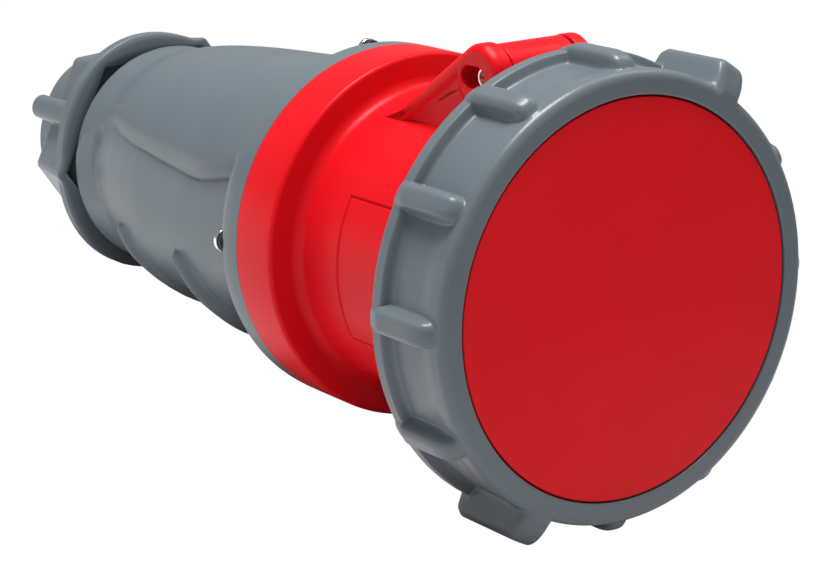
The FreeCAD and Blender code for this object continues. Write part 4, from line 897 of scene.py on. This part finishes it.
# %% [markdown]
# ## The gland nut
# The nut has a flange in front, slightly three-sided, then a six-sided body that tapers and
# ends in a steeper bevel, and a plain drum at the back. Every other side has a round-ended
# rib for the hand. It too is a height field. The radius of a hexagon at a clock angle is its
# flat distance over the cosine of the angle from the flat's middle. The mouth is hexagonal,
# so the flange is thin at the corners.

# %% Nut surface
NUT_FRONT, NUT_BACK, NUT_TURN, FLANGE_TURN = 221.7, 259.7, -4.0, 275.0
NUT_CORNER, NUT_FLANGE, MOUTH_CORNER, DRUM = 37.4, 37.4, 35.0, 24.9
TAPER, BEVEL = 0.14, 0.5
NUT_RIB_CREST, NUT_RIB_MEAN, NUT_RIB_ROUND = 36.0, 33.0, 2.6


def hexagon(clock, corner):
    """Flat distance over cosine. The flats' middles lie at the nut's ribs."""
    away = np.radians((clock - NUT_TURN + 30) % 60 - 30)
    return corner * math.cos(math.radians(30)) / np.cos(away)


def nut_outside(x, clock):
    """Drum, tapering hexagon with soft corners, ribs, and the flange in front."""
    corner = NUT_CORNER - TAPER * (x - 229.0) - BEVEL * np.maximum(x - 241.0, 0)
    body = np.minimum(hexagon(clock, corner), corner - 0.4)
    body = body - 12.0 * ramp(x, 249.5, 252.5)
    base = blend_over(DRUM, body, 0.8)
    across = NUT_RIB_MEAN * np.radians((clock - NUT_TURN) % 120 - 60)
    crest = NUT_RIB_CREST - 0.3 * np.clip((x - 229) / 18, 0, 1)
    distance = bar_distance(-x, across, 3.75, -250.0, 3.6)
    base = blend_over(base, bar_top(crest, distance, NUT_RIB_ROUND, 5.0), 1.0)
    three_sided = NUT_FLANGE - 1.1 * np.cos(3 * np.radians(clock - FLANGE_TURN))
    flange = three_sided - 12.0 * ramp(x, 225.6, 227.4)
    return blend_over(base, flange, 0.8)


def gland_nut():
    """Outside, back end, bore and cone, thread, and the hexagonal mouth in the front face."""
    x = np.unique(np.concatenate([
        stations(222.3, 228.0, 0.25), stations(228.0, 244.0, 1.0), stations(244.0, 253.0, 0.3),
        stations(253.0, 259.0, 2.0)]).round(3))
    clock = np.unique(np.concatenate(
        [stations(-180, 180, 1.5)[:-1]] +
        [NUT_TURN + 60 + 120 * k + np.linspace(-8.5, 8.5, 40) for k in range(3)] +
        [NUT_TURN + 30 + 60 * k + np.linspace(-6, 6, 13) for k in range(6)]) % 360)
    clock = clock[np.concatenate([[True], np.diff(clock) > 0.05])]
    outside = nut_outside(x[:, None], clock[None, :])
    field = around(x[:, None], outside, clock[None, :])
    inner = rounded([
        (258.9, DRUM), (NUT_BACK, DRUM, 0.8), (NUT_BACK, 19.5, 0.8), (245.2, 19.5, 0.4),
        (245.2, 21.3, 0.4), (235.2, 25.0, 0.3), (234.0, 25.0, 0.3), (234.0, 28.4, 0.3),
        (226.7, 28.4, 0.3), (226.7, 29.5)], steps=4)[1:]
    inside = carried_round(inner, clock)
    mouth = hexagon(clock, MOUTH_CORNER)
    lips = [around(226.7, mouth, clock), around(222.0, mouth, clock),
            around(NUT_FRONT, mouth + 0.3, clock)]
    rim = outside[0]
    face = [around(NUT_FRONT, mouth + (rim - mouth) * 0.5, clock),
            around(NUT_FRONT + 0.05, mouth + (rim - mouth) * 0.75, clock),
            around(NUT_FRONT + 0.25, rim - 0.25, clock)]
    points = np.concatenate([field, inside, np.stack(lips + face)])
    return grid_mesh("nut_body", points, close_rows=True, sharp=50)


dress(gland_nut(), GREY, "nut", "grey_plastic", "gland_nut")

# %% [markdown]
# ## Pieces that keep their CAD shape
# The contacts, their carrier, the seals and the cable clamp are plain turned shapes that are
# right as they are. They only need their finish.

# %% Finishes for the CAD nodes
FINISH = {
    "contact_carrier": PALE, "carrier_base": PALE, "carrier_plate": PALE,
    "thrust_ring": PALE, "cable_clamp": PALE,
    "gland_seal": DARK, "lid_seal": DARK, "housing_seal": DARK, "terminal_screws": ZINC,
    "earth_sleeve": BRASS, "pilot_sleeve": BRASS, "neutral_sleeve": BRASS,
    "line_sleeve_1": BRASS, "line_sleeve_2": BRASS, "line_sleeve_3": BRASS,
}
for name, material in FINISH.items():
    node = frame["nodes"][name]
    node.data.materials.clear()
    node.data.materials.append(material)
print("finished CAD nodes:", len(FINISH))

# %% [markdown]
# ## Floor, light and background
# The photograph stands on nothing: pure white all round. The floor just under the part is
# plain white to the camera, so no shadow shows on it. Reflections and bounced light meet a
# pale surface there, which sends light up. The light is broad: a large soft lamp right above, a
# weaker one above on the right, a faint one in front, and an even sky that is dimmer to all
# other rays than to the camera.

# %% Stage
WHITE = (1.0, 1.0, 1.0, 1.0)
lowest = min(CAD_BOX[0][2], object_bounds()[0][2])


def floor_piece():
    """A flat square, four metres wide, half a millimetre below the part's lowest point."""
    across = np.array([-2.0, 2.0])
    x, y = np.meshgrid(across, across, indexing="ij")
    points = np.stack([x, y, np.full_like(x, lowest - 0.0005)], -1)
    return grid_mesh("floor", points, close_columns=False)


floor = floor_piece()
floor_paint, nodes, links, surface, _ = shader_nodes("floor_paint")
surface.inputs["Base Color"].default_value = (0.75, 0.75, 0.75, 1.0)
surface.inputs["Roughness"].default_value = 0.9
white = nodes.new("ShaderNodeEmission")
white.inputs["Strength"].default_value = 1.0
rays = nodes.new("ShaderNodeLightPath")
mix = nodes.new("ShaderNodeMixShader")
seen = nodes.new("ShaderNodeMath")
seen.operation = "MAXIMUM"
links.new(rays.outputs["Is Camera Ray"], seen.inputs[0])
links.new(rays.outputs["Is Transmission Ray"], seen.inputs[1])
links.new(seen.outputs["Value"], mix.inputs["Fac"])
links.new(surface.outputs["BSDF"], mix.inputs[1])
links.new(white.outputs["Emission"], mix.inputs[2])
links.new(mix.outputs["Shader"], nodes["Material Output"].inputs["Surface"])
floor.data.materials.append(floor_paint)


AIM = (100.0, 0.0, 0.0)


def lamp(name, place, size, power):
    """A square soft lamp at a place in socket coordinates, pointing at the main axis."""
    light = bpy.data.lights.new(name, "AREA")
    light.shape = "SQUARE"
    light.size = size
    light.energy = power
    item = bpy.data.objects.new(name, light)
    bpy.context.scene.collection.objects.link(item)
    item.location = Vector(in_frame(*place))
    towards = Vector(in_frame(*AIM)) - item.location
    item.rotation_euler = towards.to_track_quat("-Z", "Y").to_euler()


lamp("key", (60.0, 50.0, 950.0), size=0.4, power=14.6)
lamp("front", (-800.0, -250.0, 200.0), size=0.5, power=0.65)
lamp("right", (0.0, -500.0, 700.0), size=0.4, power=1.5)

world = bpy.data.worlds.new("sky")
bpy.context.scene.world = world
world.use_nodes = True
nodes, links = world.node_tree.nodes, world.node_tree.links
sky = nodes["Background"]
sky.inputs["Color"].default_value = WHITE
sky.inputs["Strength"].default_value = 0.31
sky_seen = nodes.new("ShaderNodeBackground")
sky_seen.inputs["Color"].default_value = WHITE
sky_mix = nodes.new("ShaderNodeMixShader")
sky_rays = nodes.new("ShaderNodeLightPath")
links.new(sky_rays.outputs["Is Camera Ray"], sky_mix.inputs["Fac"])
links.new(sky.outputs["Background"], sky_mix.inputs[1])
links.new(sky_seen.outputs["Background"], sky_mix.inputs[2])
links.new(sky_mix.outputs["Shader"], nodes["World Output"].inputs["Surface"])
bpy.context.scene.view_settings.view_transform = "Standard"
